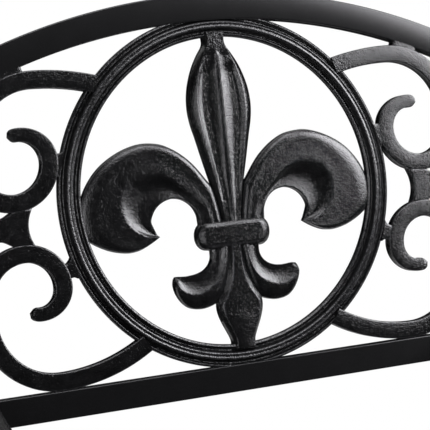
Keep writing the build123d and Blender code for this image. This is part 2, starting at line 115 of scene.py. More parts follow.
def smooth_curve(knots, count):
    """Curve through the knots. Each span is the cubic whose slope at a knot is half the step from the knot
    before to the knot after, sampled evenly in knot number."""
    knots = np.asarray(knots, float)
    t = np.linspace(0, len(knots) - 1, count)
    span = np.minimum(t.astype(int), len(knots) - 2)
    f = (t - span)[:, None]
    ends = np.vstack([2 * knots[0] - knots[1], knots, 2 * knots[-1] - knots[-2]])
    a, b, c, d = (ends[span + k] for k in range(4))
    return b + f / 2 * (c - a + f * (2 * a - 5 * b + 4 * c - d + f * (3 * (b - c) + d - a)))


def crowded(count, share):
    """Steps from 0 to 1 that crowd towards both ends: t - share * sin(2 pi t) / (2 pi)."""
    t = np.linspace(0, 1, count)
    return t - share * np.sin(2 * np.pi * t) / (2 * np.pi)


def crowded_sides(count, share):
    """Steps from -1 to 1 that crowd towards both ends: share * sin(pi t / 2) + (1 - share) * t."""
    t = np.linspace(-1, 1, count)
    return np.sin(t * np.pi / 2) * share + t * (1 - share)


print("crowded steps:", crowded(5, 0.7).round(3), "and", crowded_sides(5, 0.5).round(3))

# %% [markdown]
# ## From grids to closed meshes
#
# Blender keeps a mesh as points and faces. A grid of points becomes quads by joining each point to its
# neighbours in the next row and column. A slab is a relief with a flat back: the same outline twice, with
# walls between. A sweep is a section repeated along a path. Both come out closed, and a shell whose volume
# comes out negative is turned, so that faces always point outwards. An attribute named edge marks crests
# and corners, for the finish to rub.

# %% Grids, slabs and sweeps
LEAF_BASE = -3.5


def quads(index):
    """Quads between neighbouring rows and columns of a grid of point numbers."""
    return np.stack([index[:-1, :-1], index[1:, :-1], index[1:, 1:], index[:-1, 1:]], -1).reshape(-1, 4)


def slab(u, v, height, base=LEAF_BASE, edge=0.0):
    """Relief over a grid: the face at (u, v, height), the same outline at the base, and walls between them.
    Gives the points, the faces and the edge mask."""
    rows, columns = u.shape
    index = np.arange(rows * columns).reshape(rows, columns)
    rim = np.concatenate([index[0, :-1], index[:-1, -1], index[-1, :0:-1], index[:0:-1, 0]])
    beside = np.roll(rim, -1)
    back = rows * columns
    faces = np.vstack([
        quads(index),
        quads(index)[:, ::-1] + back,
        np.stack([rim, beside, beside + back, rim + back], 1),
    ])
    points = np.vstack([on_back(u, v, height).reshape(-1, 3), on_back(u, v, base).reshape(-1, 3)])
    mask = np.concatenate([np.broadcast_to(edge, u.shape).ravel(), np.zeros(back)])
    return points, faces.tolist(), mask


def sweep(path, side, out, section, edge=0.0, ends=(None, None)):
    """A section carried along a path: point = path + x of the section * side + y of the section * out. Each
    end is capped, and first slid along the run onto its plane (point, normal) where one is given."""
    section = np.broadcast_to(section, (len(path),) + np.shape(section)[-2:])
    points = path[:, None] + section[..., :1] * side[:, None] + section[..., 1:] * out[:, None]
    for end, inner, plane in ((0, 1, ends[0]), (-1, -2, ends[1])):
        if plane is not None:
            run = path[end] - path[inner]
            gap = (plane[0] - points[end]) @ plane[1] / (run @ plane[1])
            points[end] = points[end] + gap[:, None] * run
    rows, columns = points.shape[:2]
    index = np.arange(rows * columns).reshape(rows, columns)
    faces = quads(np.hstack([index, index[:, :1]])).tolist() + [index[0].tolist(), index[-1, ::-1].tolist()]
    return points.reshape(-1, 3), faces, np.broadcast_to(edge, (rows, columns)).ravel()


print("a grid of 3 by 4 points has", len(quads(np.arange(12).reshape(3, 4))), "quads")


# %% One object from its shells
WELD_DISTANCE, SHORTEST_EDGE, CREASE_ANGLE = 3e-6, 1e-6, 38.0


def turned(points, faces):
    """Faces in the order that makes the shell's volume, a sum of corner . (next x last) / 6, positive."""
    corners = np.array([(f[0], f[i], f[i + 1]) for f in faces for i in range(1, len(f) - 1)])
    a, b, c = (points[corners[:, k]] - points.mean(0) for k in range(3))
    return faces if (a * np.cross(b, c)).sum() > 0 else [f[::-1] for f in faces]


def make_piece(name, shells, finish, nodes):
    """One object from closed shells: welded where points meet, smooth below the crease angle, riding on the
    chair's body in place of its CAD nodes."""
    points, faces, edge, count = [], [], [], 0
    for shell_points, shell_faces, shell_edge in shells:
        faces += [[count + i for i in f] for f in turned(shell_points, shell_faces)]
        points.append(shell_points * MM)
        edge.append(shell_edge)
        count += len(shell_points)
    mesh = bpy.data.meshes.new(name)
    mesh.from_pydata(np.vstack(points), [], faces)
    edge_mask = mesh.attributes.new("edge", "FLOAT", "POINT")
    edge_mask.data.foreach_set("value", np.concatenate(edge).astype(np.float32))
    welded = bmesh.new()
    welded.from_mesh(mesh)
    bmesh.ops.remove_doubles(welded, verts=welded.verts, dist=WELD_DISTANCE)
    bmesh.ops.dissolve_degenerate(welded, edges=welded.edges, dist=SHORTEST_EDGE)
    welded.to_mesh(mesh)
    welded.free()
    mesh.shade_smooth()
    mesh.set_sharp_from_angle(angle=np.radians(CREASE_ANGLE))
    mesh.materials.append(finish)
    piece = bpy.data.objects.new(name, mesh)
    bpy.context.scene.collection.objects.link(piece)
    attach(piece, "root")
    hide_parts(*nodes)
    print(f"{name}: {len(mesh.vertices)} points, {len(mesh.polygons)} faces")


# %% [markdown]
# ## Finishes
#
# All the metal is black, but the tube is smooth powder coat with a fine orange peel, while the castings
# keep the grain and the pits of the sand they were poured in. Both get thinner and a little greyer where
# hands and weather rub the edges. An image could hold all this, but noise on Object coordinates needs no
# unwrapping and stays sharp from near. Each effect is a node group, built once and used in each finish with
# its own values.

# %% Node helpers
def add_node(tree, kind, inputs=(), **settings):
    """A node with its settings, and its inputs linked to a socket or set to a value."""
    made = tree.nodes.new(kind)
    for key, value in settings.items():
        setattr(made, key, value)
    for key, value in dict(inputs).items():
        if isinstance(value, bpy.types.NodeSocket):
            tree.links.new(value, made.inputs[key])
        else:
            made.inputs[key].default_value = value
    return made


def new_group(name, inputs, outputs):
    """An empty shader group with named sockets: (name, kind, default) in, (name, kind) out."""
    tree = bpy.data.node_groups.new(name, "ShaderNodeTree")
    for label, kind, default in inputs:
        socket = tree.interface.new_socket(label, in_out="INPUT", socket_type=kind)
        if default is not None:
            socket.default_value = default
    for label, kind in outputs:
        tree.interface.new_socket(label, in_out="OUTPUT", socket_type=kind)
    return tree, tree.nodes.new("NodeGroupInput").outputs, tree.nodes.new("NodeGroupOutput").inputs


def math(tree, operation, a, b=0.0, clamp=False):
    """The output of a Math node."""
    return add_node(tree, "ShaderNodeMath", {0: a, 1: b}, operation=operation, use_clamp=clamp).outputs[0]


def remap(tree, value, low, high, to_low=0.0, to_high=1.0):
    """The output of a Map Range node."""
    return add_node(tree, "ShaderNodeMapRange", {0: value, 1: low, 2: high, 3: to_low, 4: to_high}).outputs[0]


def noise(tree, where, scale, detail=2.0, rough=0.5):
    """The value of a Noise Texture, with its scale in lumps per metre."""
    inputs = {"Vector": where, "Scale": scale, "Detail": detail, "Roughness": rough}
    return add_node(tree, "ShaderNodeTexNoise", inputs).outputs[0]


# %% Sand-cast skin: grains, a few deeper pits, and broad uneven flow
VECTOR, FLOAT = "NodeSocketVector", "NodeSocketFloat"
FLOW_SCALE, FLOW_WEIGHT, PIT_SCALE = 140.0, 0.7, 330.0
CAST_SKIN, skin_in, skin_out = new_group(
    "sand_cast_skin",
    [("Vector", VECTOR, None), ("Grain", FLOAT, 900.0), ("Pits", FLOAT, 0.35)],
    [("Height", FLOAT), ("Mottle", FLOAT)],
)
grain = noise(CAST_SKIN, skin_in["Vector"], skin_in["Grain"], detail=1.0)
flow = noise(CAST_SKIN, skin_in["Vector"], FLOW_SCALE)
pit_inputs = {"Vector": skin_in["Vector"], "Scale": PIT_SCALE, "Randomness": 1.0}
pit_distance = add_node(CAST_SKIN, "ShaderNodeTexVoronoi", pit_inputs, feature="F1").outputs["Distance"]
pits = remap(CAST_SKIN, pit_distance, 0.05, 0.3, to_low=1.0, to_high=0.0)
lumps = math(CAST_SKIN, "ADD", grain, math(CAST_SKIN, "MULTIPLY", flow, FLOW_WEIGHT))
skin_height = math(CAST_SKIN, "SUBTRACT", lumps, math(CAST_SKIN, "MULTIPLY", pits, skin_in["Pits"]))
CAST_SKIN.links.new(skin_height, skin_out["Height"])
CAST_SKIN.links.new(remap(CAST_SKIN, math(CAST_SKIN, "ADD", flow, grain), 0.7, 1.3), skin_out["Mottle"])
print("group:", CAST_SKIN.name)

# %% Powder-coat skin: fine orange peel over slow waves
WAVE_SCALE = 60.0
COAT_SKIN, coat_in, coat_out = new_group(
    "powder_coat_skin",
    [("Vector", VECTOR, None), ("Peel", FLOAT, 700.0)],
    [("Height", FLOAT), ("Mottle", FLOAT)],
)
peel = noise(COAT_SKIN, coat_in["Vector"], coat_in["Peel"], detail=1.0)
wave = noise(COAT_SKIN, coat_in["Vector"], WAVE_SCALE)
COAT_SKIN.links.new(peel, coat_out["Height"])
COAT_SKIN.links.new(remap(COAT_SKIN, wave, 0.3, 0.7), coat_out["Mottle"])
print("group:", COAT_SKIN.name)

# %% Rubbed edges: the marked edges, broken up by a noise
PATCH_SCALE = 260.0
RUBBED, rubbed_in, rubbed_out = new_group(
    "rubbed_edges",
    [("Edge", FLOAT, 0.0), ("Vector", VECTOR, None), ("Amount", FLOAT, 1.0)],
    [("Mask", FLOAT)],
)
patches = noise(RUBBED, rubbed_in["Vector"], PATCH_SCALE, detail=3.0, rough=0.65)
patchy = remap(RUBBED, patches, 0.36, 0.62)
broken_up = math(RUBBED, "MULTIPLY", rubbed_in["Edge"], patchy)
rubbed = math(RUBBED, "MULTIPLY", broken_up, rubbed_in["Amount"], clamp=True)
RUBBED.links.new(rubbed, rubbed_out["Mask"])
print("group:", RUBBED.name)


# %% Materials of the castings, the tube and the plastic feet
BLUE_TRACE, POLISH = 1.06, 0.08


def grey(value):
    """A colour with its channels alike but for the trace of blue that the paint has."""
    return (value, value, value * BLUE_TRACE, 1.0)


def painted(name, skin, skin_values, dark, light, rubbed_tone, dull, bright, bump, wear, specular):
    """Black paint: the skin group drives colour (dark to light), roughness (bright to dull) and bump
    (strength, distance), and rubbed edges are lighter by the wear and more polished."""
    material = bpy.data.materials.new(name)
    material.use_nodes = True
    tree = material.node_tree
    shader = tree.nodes["Principled BSDF"]
    shader.inputs["Specular IOR Level"].default_value = specular
    where = add_node(tree, "ShaderNodeTexCoord").outputs["Object"]
    edge = add_node(tree, "ShaderNodeAttribute", attribute_name="edge").outputs["Fac"]
    surface = add_node(tree, "ShaderNodeGroup", node_tree=skin)
    tree.links.new(where, surface.inputs["Vector"])
    for key, value in skin_values.items():
        surface.inputs[key].default_value = value
    worn = add_node(tree, "ShaderNodeGroup", node_tree=RUBBED)
    tree.links.new(where, worn.inputs["Vector"])
    tree.links.new(edge, worn.inputs["Edge"])
    worn.inputs["Amount"].default_value = wear
    body_inputs = {0: surface.outputs["Mottle"], 6: grey(dark), 7: grey(light)}
    body = add_node(tree, "ShaderNodeMix", body_inputs, data_type="RGBA")
    colour_inputs = {0: worn.outputs["Mask"], 6: body.outputs[2], 7: grey(rubbed_tone)}
    colour = add_node(tree, "ShaderNodeMix", colour_inputs, data_type="RGBA")
    gloss = remap(tree, surface.outputs["Mottle"], 0.0, 1.0, bright, dull)
    polish = math(tree, "MULTIPLY", worn.outputs["Mask"], POLISH)
    bump_inputs = {"Height": surface.outputs["Height"], "Strength": bump[0], "Distance": bump[1]}
    relief = add_node(tree, "ShaderNodeBump", bump_inputs)
    tree.links.new(colour.outputs[2], shader.inputs["Base Color"])
    tree.links.new(math(tree, "SUBTRACT", gloss, polish), shader.inputs["Roughness"])
    tree.links.new(relief.outputs["Normal"], shader.inputs["Normal"])
    return material


CAST_BLACK = painted(
    "cast_black", CAST_SKIN, {"Grain": 1000.0, "Pits": 0.3}, dark=0.003, light=0.006, rubbed_tone=0.04,
    dull=0.215, bright=0.15, bump=(0.6, 0.0005), wear=1.0, specular=0.85,
)
TUBE_BLACK = painted(
    "powder_coat_black", COAT_SKIN, {"Peel": 900.0}, dark=0.005, light=0.0055, rubbed_tone=0.02,
    dull=0.26, bright=0.25, bump=(0.1, 0.0001), wear=0.7, specular=0.58,
)
FOOT_BLACK = painted(
    "moulded_black", COAT_SKIN, {"Peel": 1500.0}, dark=0.012, light=0.018, rubbed_tone=0.04,
    dull=0.62, bright=0.5, bump=(0.3, 0.0002), wear=0.8, specular=0.5,
)
print("finishes:", [m.name for m in (CAST_BLACK, TUBE_BLACK, FOOT_BLACK)])

# %% [markdown]
# ## The ring
#
# The medallion's ring is a moulding turned about its centre: a bead at each rim, which slopes to the edge,
# a deep cove inside each bead, and a double ridge along the middle. A torus would be quicker, but it has
# one broad highlight where the moulding has several fine ones. So one section is drawn and carried round a
# circle. Where the arch and the lower rail cover the ring, it stays low enough to hide inside their tube.

# %% Ring of the medallion
RING_MID, RING_STEPS, SECTION_STEPS = 143.2, 300, 49
HIDDEN_HEIGHT = 3.5
# Half of the section, from the foot of the rim to the middle, and how much each of its points is rubbed
HALF_SECTION = [
    (10.0, 0.0), (10.0, 1.8), (10.0, 3.4), (9.75, 4.15), (9.2, 4.6), (8.7, 4.95), (8.25, 5.2), (7.9, 5.15),
    (7.6, 4.6), (7.3, 3.7), (6.9, 2.8), (6.3, 2.3), (5.3, 2.1), (4.5, 2.5), (3.9, 3.5), (3.5, 4.8),
    (3.15, 5.9), (2.75, 6.6), (2.25, 7.05), (1.8, 7.3), (1.4, 7.25), (0.9, 7.05), (0.45, 6.9), (0.0, 6.85),
]
HALF_EDGE = [0, 0, 0, .2, .3, .6, 1, .8, .3, 0, 0, 0, 0, 0, 0, 0, .2, .5, .9, 1, .8, .4, .1, 0]


def ring_shell():
    """Moulding turned about w: radius = ring's middle + x of the section, out to y of the section."""
    half = smooth_curve(HALF_SECTION, SECTION_STEPS)
    edge = np.interp(np.linspace(0, 1, SECTION_STEPS), np.linspace(0, 1, len(HALF_EDGE)), HALF_EDGE)
    section = np.vstack([half, (half * (-1, 1))[-2::-1]])
    edge = np.concatenate([edge, edge[-2::-1]])
    turn = np.linspace(0, 2 * np.pi, RING_STEPS, endpoint=False)[:, None]
    radius = RING_MID + section[:, 0]
    u, v = radius * np.sin(turn), radius * np.cos(turn)
    under_arch = np.hypot(u, v - ARCH_CENTRE) > ARCH_RADIUS - TUBE_FACE / 2
    covered = under_arch | (v < LOWER_RAIL_V + TUBE_FACE / 2)
    points = on_back(u, v, np.where(covered, np.minimum(section[:, 1], HIDDEN_HEIGHT), section[:, 1]))
    index = np.arange(points.shape[0] * points.shape[1]).reshape(points.shape[:2])
    index = np.vstack([np.hstack([index, index[:, :1]]), np.hstack([index[:1], index[:1, :1]])])
    return points.reshape(-1, 3), quads(index).tolist(), np.broadcast_to(edge, points.shape[:2]).ravel()


ring = ring_shell()
print("ring points:", len(ring[0]))

# %% [markdown]
# ## The fleur-de-lis
#
# Its leaves are reliefs. They could be sculpted, or cut from a plate and bevelled, but their rims and
# flutes run along the leaf, so one formula for the height across it shapes the whole leaf. A leaf is
# described by its two edges, each a smooth curve through a few points, and by the height of its face along
# the ribs that join them. The middle petal has a roofed rib with a sharp midrib, and a flute and a rolled
# rim on each side of it. A side petal curls round an open eye: a rolled rim that is broad at the outer end,
# a nearly flat face, and a cup that drops from the face to the eye.

# %% Middle petal
# Half width and v
PETAL_PROFILE = [
    (8.0, -32.0), (9.2, -22.0), (12.0, -8.0), (15.4, 8.0), (20.0, 27.0), (24.4, 46.0), (27.8, 60.0),
    (29.2, 73.0), (28.2, 86.0), (25.2, 98.0), (20.8, 109.0), (15.4, 118.5), (11.2, 124.5), (9.8, 128.0),
    (9.8, 132.0), (10.4, 136.5),
]
RIB_HALF_WIDTH, FLUTE_PLACE, RIM_WIDTH = 11.0, 16.5, 5.6
PETAL_HEIGHT, PETAL_RIM_HEIGHT = 7.2, 1.2
ROOF_FALL, FLUTE_FALL, CREST_RISE = 1.2, 1.7, 2.3
MIDRIB_HEIGHT, MIDRIB_HALF_WIDTH = 1.0, 2.1
# Ramps: the flutes over the half width, then the flutes, the roof and the midrib along v
FLUTES_OPEN, FLUTES_CLOSE, ROOF_CLOSES = (10.0, 18.0), (114.0, 100.0), (123.0, 115.0)
MIDRIB_OPENS, MIDRIB_CLOSES = (-26.0, -16.0), (121.0, 116.0)


def middle_petal_shell():
    """Ribs across v, with u up to the half width of the profile. Height = a roof that falls from the midrib
    to the flute, a rise from the flute to the crest, the round of the rim outside the crest, and the
    midrib."""
    profile = smooth_curve(PETAL_PROFILE, 150)
    half, v = profile[:, :1], profile[:, 1:]
    u = crowded_sides(91, 0.55) * half
    reach = np.abs(u)
    from_rim = half - reach
    size = half / half.max()
    rib, low = RIB_HALF_WIDTH * size, FLUTE_PLACE * size
    crest = half - np.maximum(RIM_WIDTH * size, 0.4 * (half - rib))
    fluting = ramp(half, *FLUTES_OPEN) * ramp(v, *FLUTES_CLOSE)
    roof = 1 - (1 - np.clip(reach / rib, 0, 1)) ** 1.6
    rise = np.clip((reach - low) / np.maximum(crest - low, 0.2), 0, 1) ** 1.6
    fall = ROOF_FALL * ramp(v, *ROOF_CLOSES) + FLUTE_FALL * fluting
    face = PETAL_HEIGHT - fall * roof + CREST_RISE * fluting * rise
    roll = 1 - (1 - np.clip(from_rim / (half - crest), 0, 1)) ** 1.4
    height = PETAL_RIM_HEIGHT + (face - PETAL_RIM_HEIGHT) * roll
    midrib = MIDRIB_HEIGHT * np.clip(1 - reach / MIDRIB_HALF_WIDTH, 0, 1)
    midrib = midrib * ramp(v, *MIDRIB_OPENS) * ramp(v, *MIDRIB_CLOSES)
    edge = ridge(reach - crest, 1.2) * fluting + 0.8 * ridge(reach - 0.5, 0.6) + 0.3 * ridge(from_rim, 0.6)
    return slab(u, v + 0 * u, height + midrib, edge=np.clip(edge, 0, 1))


petal = middle_petal_shell()
print("middle petal points:", len(petal[0]))

# %% Edges of a side petal
OUTER_EDGE = [
    (8.5, -30), (11.2, -12), (15, 4), (20, 11.6), (30, 25), (40, 34.5), (50, 41.2), (60, 45.4), (73.5, 47),
    (85, 45.2), (97, 40.8), (109, 34), (119, 25.4), (127.4, 14.4), (133, 3), (135.5, -8), (135.2, -20),
    (131, -28.4), (125, -33.6), (117, -38.2), (108, -41.9), (97, -44.2), (88, -43.6), (81, -41.2),
    (74, -37.6), (67.6, -33.4),
]
EYE, EYE_RADIUS = np.array([51.9, -24.1]), 21.8
EYE_ANGLES = [180, 176, 169, 160, 148, 134, 119, 106, 90, 78, 67, 55.5, 46, 36.6, 27.4, 19, 12.5]
EYE_ROOT_SHIFT = [(0, -6), (0, -3)]
EYE_HOOK = [
    (73.0, -21.4), (72.4, -23.2), (71.7, -25), (71, -26.8), (70.3, -28.4), (69.7, -29.8), (69.1, -31),
    (68.4, -32.3), (67.6, -33.4),
]


def side_petal_edges(count):
    """The outer edge, and the eye's edge: points on the eye's circle, the first two shifted down to the root,
    and then the hook of the tip."""
    angle = np.radians(EYE_ANGLES)
    on_eye = EYE + EYE_RADIUS * np.stack([np.cos(angle), np.sin(angle)], 1)
    on_eye[:2] += EYE_ROOT_SHIFT
    return smooth_curve(OUTER_EDGE, count), smooth_curve(np.vstack([on_eye, EYE_HOOK]), count)


print("knots on each edge:", len(OUTER_EDGE), len(EYE_ANGLES) + len(EYE_HOOK))

# %% Side petals
# The crest's place on the rib at each knot, from the outer edge (0) to the eye's edge (1)
CREST_PLACE = [
    .53, .55, .64, .71, .77, .80, .75, .655, .555, .505, .465, .435, .47, .51, .565, .61, .66, .69, .70, .715,
    .73, .74, .76, .78, .80, .80,
]
LOWEST, ROLL_RISE, FACE_HEIGHT, SMALL_RIB = 0.8, 4.8, 5.6, 14.0
ROLL_WIDTH, ROLL_SHARE, BROADER_WIDTH, BROADER_SHARE = 8.0, 0.45, 7.0, 0.2
VALLEY_DEPTH, VALLEY_LOSS = 0.25, 0.15
CUP_DROP, ROOT_DROP, CUP_WALL, CUP_LIP, CUP_LIP_FROM = 3.2, 0.8, 0.62, 1.1, 0.55
EYE_ROUND, EYE_ROUND_DROP = 1.4, 1.2
# Ramps over the number of the knot: the broad roll, the cup, the sharp crest and the shallow valley
BROAD_OPENS, BROAD_CLOSES, CUP_OPENS = (9.0, 13.0), (20.0, 17.0), (3.0, 8.0)
CREST_SHARPENS, VALLEY_FADES = (10.0, 14.0), (5.0, 10.0)


def ribs_between(outer, inner, t):
    """Places t of the way along straight ribs from the outer edge to the inner one, and the ribs' lengths."""
    across = inner - outer
    rib = np.linalg.norm(across, axis=1)[:, None]
    return outer[:, :1] + across[:, :1] * t, outer[:, 1:] + across[:, 1:] * t, rib


def lip_rise(share, start):
    """Lip of a cup: 0 up to the start, then the square of the way from there to the edge."""
    return np.clip((share - start) / (1 - start), 0, 1) ** 2


def side_petal_shell(side):
    """Ribs from the outer edge (t = 0) to the eye's edge (t = 1). Height = rolled rim, then a face with a
    shallow valley, then the cup: its wall, floor and lip. Towards the hooked tip the cup's edge is a sharp
    crest."""
    count = 190
    outer, inner = side_petal_edges(count)
    knot = np.linspace(0, len(OUTER_EDGE) - 1, count)[:, None]
    place = smooth_curve(np.array(CREST_PLACE)[:, None], count)
    t = crowded(64, 0.7)
    u, v, rib = ribs_between(outer, inner, t)
    from_rim, from_eye, past_crest = t * rib, (1 - t) * rib, (t - place) * rib
    size = ramp(rib, 0.0, SMALL_RIB)
    broad = ramp(knot, *BROAD_OPENS) * ramp(knot, *BROAD_CLOSES)
    cupped, hooked = ramp(knot, *CUP_OPENS), ramp(knot, *CREST_SHARPENS)
    widest_roll = (ROLL_SHARE + BROADER_SHARE * broad) * place * rib + 0.5
    roll_width = np.minimum(ROLL_WIDTH + BROADER_WIDTH * broad, widest_roll)
    behind = (from_rim - 0.7 * roll_width) / np.maximum(place * rib - 0.7 * roll_width, 0.5)
    valley = (VALLEY_DEPTH - VALLEY_LOSS * ramp(knot, *VALLEY_FADES)) * size
    face = LOWEST + ROLL_RISE * quarter_round(from_rim / roll_width)
    face = face - valley * np.sin(np.pi * np.clip(behind, 0, 1)) ** 2
    room = np.maximum((1 - place) * rib, 1e-3)
    down = np.clip(past_crest / (CUP_WALL * room), 0, 1)
    wall = ease(down) + hooked * (1 - (1 - down) ** 2 - ease(down))
    lip = lip_rise(past_crest / room, CUP_LIP_FROM)
    drop = (CUP_DROP * cupped + ROOT_DROP * (1 - cupped)) * size
    cup = FACE_HEIGHT - drop * wall + CUP_LIP * lip * cupped * ramp(room, 0.0, SMALL_RIB)
    height = np.where(past_crest < 0, face, cup) - EYE_ROUND_DROP * (1 - quarter_round(from_eye / EYE_ROUND))
    edge = ridge(past_crest, 0.9) * hooked + 0.5 * ridge(from_rim - 2.4, 1.6) + 0.3 * ridge(from_eye, 0.8)
    return slab(side * u, v, np.maximum(height, LOWEST), edge=np.clip(edge, 0, 1))


side_petals = {side: side_petal_shell(side) for side in (1, -1)}
print("side petal points:", len(side_petals[1][0]))


# %% Band
BAND_MIDDLE, BAND_HALF_HEIGHT, BAND_STRAIGHT, KNOB = -37.5, 12.5, 24.0, 10.4
BAND_RIM_HEIGHT, BAND_RISE, BAND_ROUND, KNOB_ROUND = 2.0, 4.2, 2.6, 9.0
BAND_BEVEL, BEVEL_FROM, BEVEL_WIDTH = 1.7, 1.2, 3.8


def band_shell():
    """Cushion: x from -1 to 1 along, y from -1 to 1 up. The ends bulge by sqrt(1 - y^2.1) into round knobs.
    The height falls off to the rim along a round, and a bevel rises from it to the middle."""
    x, y = np.meshgrid(crowded_sides(97, 0.3), crowded_sides(49, 0.4), indexing="ij")
    half_length = BAND_STRAIGHT + KNOB * np.sqrt(np.clip(1 - np.abs(y) ** 2.1, 0, 1))
    u, v = x * half_length, BAND_MIDDLE + y * BAND_HALF_HEIGHT
    from_side, from_end = BAND_HALF_HEIGHT * (1 - np.abs(y)), half_length * (1 - np.abs(x))
    off_knob = ramp(from_end, 0.0, KNOB_ROUND)
    fall = (1 - np.clip(from_side / BAND_ROUND, 0, 1)) ** 2 + (1 - np.clip(from_end / KNOB_ROUND, 0, 1)) ** 2
    bevel = BAND_BEVEL * np.clip((from_side - BEVEL_FROM) / BEVEL_WIDTH, 0, 1) * off_knob
    height = BAND_RIM_HEIGHT + BAND_RISE * np.sqrt(np.clip(1 - fall, 0, 1)) + bevel
    edge = 0.7 * ridge(from_side - 3.6, 1.2) * off_knob + 0.3 * ridge(np.minimum(from_side, from_end), 0.7)
    return slab(u, v, height, edge=np.clip(edge, 0, 1))


band = band_shell()
print("band points:", len(band[0]))

# %% Lower curls
CURL_OUTER = [
    (5, -46), (6.5, -58), (9, -72), (13.5, -86), (20, -94.6), (28.5, -98.3), (37, -99.2), (45.5, -97.4),
    (52, -92.2), (56.6, -84.6), (58.5, -77), (57.8, -71.8), (56.3, -69.4),
]
CURL_INNER = [
    (22, -46), (21.8, -54), (22.6, -58.4), (25.2, -62.8), (29.4, -66.3), (33.2, -68), (37, -69), (41, -69.5),
    (45, -69.8), (49, -69.6), (52.4, -69.3), (54.8, -69.2), (56.3, -69.4),
]
CURL_CREST = [.30, .31, .36, .45, .50, .49, .46, .44, .40, .36, .34, .4, .5]
CURL_RIM_HEIGHT, CURL_RISE, SMALL_CURL_RIB = 1.2, 5.4, 12.0
CURL_DROP, CURL_WALL, CURL_LIP, CURL_LIP_FROM = 2.7, 0.7, 0.5, 0.6


def curl_shell(side):
    """Ribs from the outer edge to the notch under the band. The face rounds up to the crest, and a cup drops
    from the crest to the notch."""
    count = 120
    outer, inner = smooth_curve(CURL_OUTER, count), smooth_curve(CURL_INNER, count)
    place = smooth_curve(np.array(CURL_CREST)[:, None], count)
    t = crowded(52, 0.6)
    u, v, rib = ribs_between(outer, inner, t)
    from_rim, from_notch, past_crest = t * rib, (1 - t) * rib, (t - place) * rib
    size = ramp(rib, 0.0, SMALL_CURL_RIB)
    face = CURL_RIM_HEIGHT + CURL_RISE * quarter_round(t / place) * size
    room = np.maximum((1 - place) * rib, 1e-3)
    wall = 1 - (1 - np.clip(past_crest / (CURL_WALL * room), 0, 1)) ** 2
    lip = lip_rise(past_crest / room, CURL_LIP_FROM)
    cup = CURL_RIM_HEIGHT + size * (CURL_RISE - CURL_DROP * wall + CURL_LIP * lip)
    height = np.where(past_crest < 0, face, cup)
    edge = ridge(past_crest, 0.9) + 0.3 * ridge(from_rim, 0.8) + 0.3 * ridge(from_notch, 0.8)
    return slab(side * u, v, np.maximum(height, LOWEST), edge=np.clip(edge * size, 0, 1))


curls = {side: curl_shell(side) for side in (1, -1)}
print("curl points:", len(curls[1][0]))

# %% Tail, and the whole medallion
# Half width, v, and the crest's share of the half width
TAIL_PROFILE = [
    (6.2, -46.0, 0.55), (6.6, -54.0, 0.55), (8.0, -64.0, 0.52), (10.6, -74.0, 0.52), (15.0, -85.0, 0.6),
    (19.4, -93.0, 0.72), (20.7, -99.0, 0.82), (19.9, -106.0, 0.8), (17.2, -114.0, 0.74), (13.6, -122.0, 0.7),
    (11.0, -128.0, 0.7), (10.3, -132.0, 0.7), (10.8, -136.5, 0.7),
]
TAIL_HEIGHT, TAIL_SWELL, FLANK_FALL = 6.4, 0.9, 3.3
CRESTS_SOFTEN = (-100.0, -114.0)


def tail_shell():
    """Spade across v: a face between two crests, bevelled flanks outside them, and a neck that runs into the
    ring, where the crests go soft."""
    profile = smooth_curve(TAIL_PROFILE, 120)
    half, v, share = profile[:, :1], profile[:, 1:2], profile[:, 2:]
    x = crowded_sides(65, 0.4)
    u = x * half
    past_crest = (np.abs(x) - share) * half
    flank = np.clip(past_crest / ((1 - share) * half), 0, 1)
    soft = ramp(v, *CRESTS_SOFTEN)
    top = TAIL_HEIGHT + TAIL_SWELL * np.cos(np.pi / 2 * np.abs(x)) * (0.3 + 0.7 * soft)
    height = top - FLANK_FALL * (flank ** 1.1 * (1 - 0.5 * soft) + 0.5 * soft * flank ** 2)
    edge = ridge(past_crest, 0.9) * (1 - soft) + 0.4 * ridge((1 - np.abs(x)) * half, 0.7)
    return slab(u, v + 0 * u, height, edge=np.clip(edge, 0, 1))


fleur = [petal, tail_shell(), band]
for side in (1, -1):
    fleur += [side_petals[side], curls[side]]
make_piece("medallion_casting", [ring] + fleur, CAST_BLACK, ["medallion"])

# %% [markdown]
# ## Paths of bent bar and tube
#
# A bent bar is a chain of straights and arcs. Given the length and the curvature of each run, the heading
# is the integral of the curvature, and the place is the integral of the heading, so each run has an exact
# formula. Scrolls, legs, armrests and slats all use it. A Blender curve with a bevel could follow the same
# path, but a section given as points can narrow to a tip, end on a mitre and mark its own corners for the
# wear.

# %% Bent paths
def bent_path(start, heading, runs, spacing):
    """Plane path from runs of (length, radius, turn sign), with radius 0 for a straight. On an arc the
    heading grows by s / radius, and the place follows the sines and cosines of it. Gives places, tangents
    and s."""
    place, angle, travelled = np.array(start, float), heading, 0.0
    places, angles, lengths = [], [], []
    for length, radius, sign in runs:
        s = np.linspace(0, length, max(int(length / spacing), 2) + 1)
        turn = angle + (sign * s / radius if radius else 0 * s)
        if radius:
            step = sign * radius * np.stack([np.sin(turn) - np.sin(angle), np.cos(angle) - np.cos(turn)], 1)
        else:
            step = s[:, None] * (np.cos(angle), np.sin(angle))
        keep = slice(0 if not places else 1, None)
        places.append((place + step)[keep])
        angles.append(turn[keep])
        lengths.append((travelled + s)[keep])
        place, angle, travelled = place + step[-1], turn[-1], travelled + length
    angles = np.concatenate(angles)
    return np.vstack(places), np.stack([np.cos(angles), np.sin(angles)], 1), np.concatenate(lengths)


half_circle = bent_path((0.0, 0.0), 0.0, [(10.0 * np.pi, 10.0, 1)], spacing=1.0)
print("a half circle of radius 10 ends at", half_circle[0][-1].round(3))


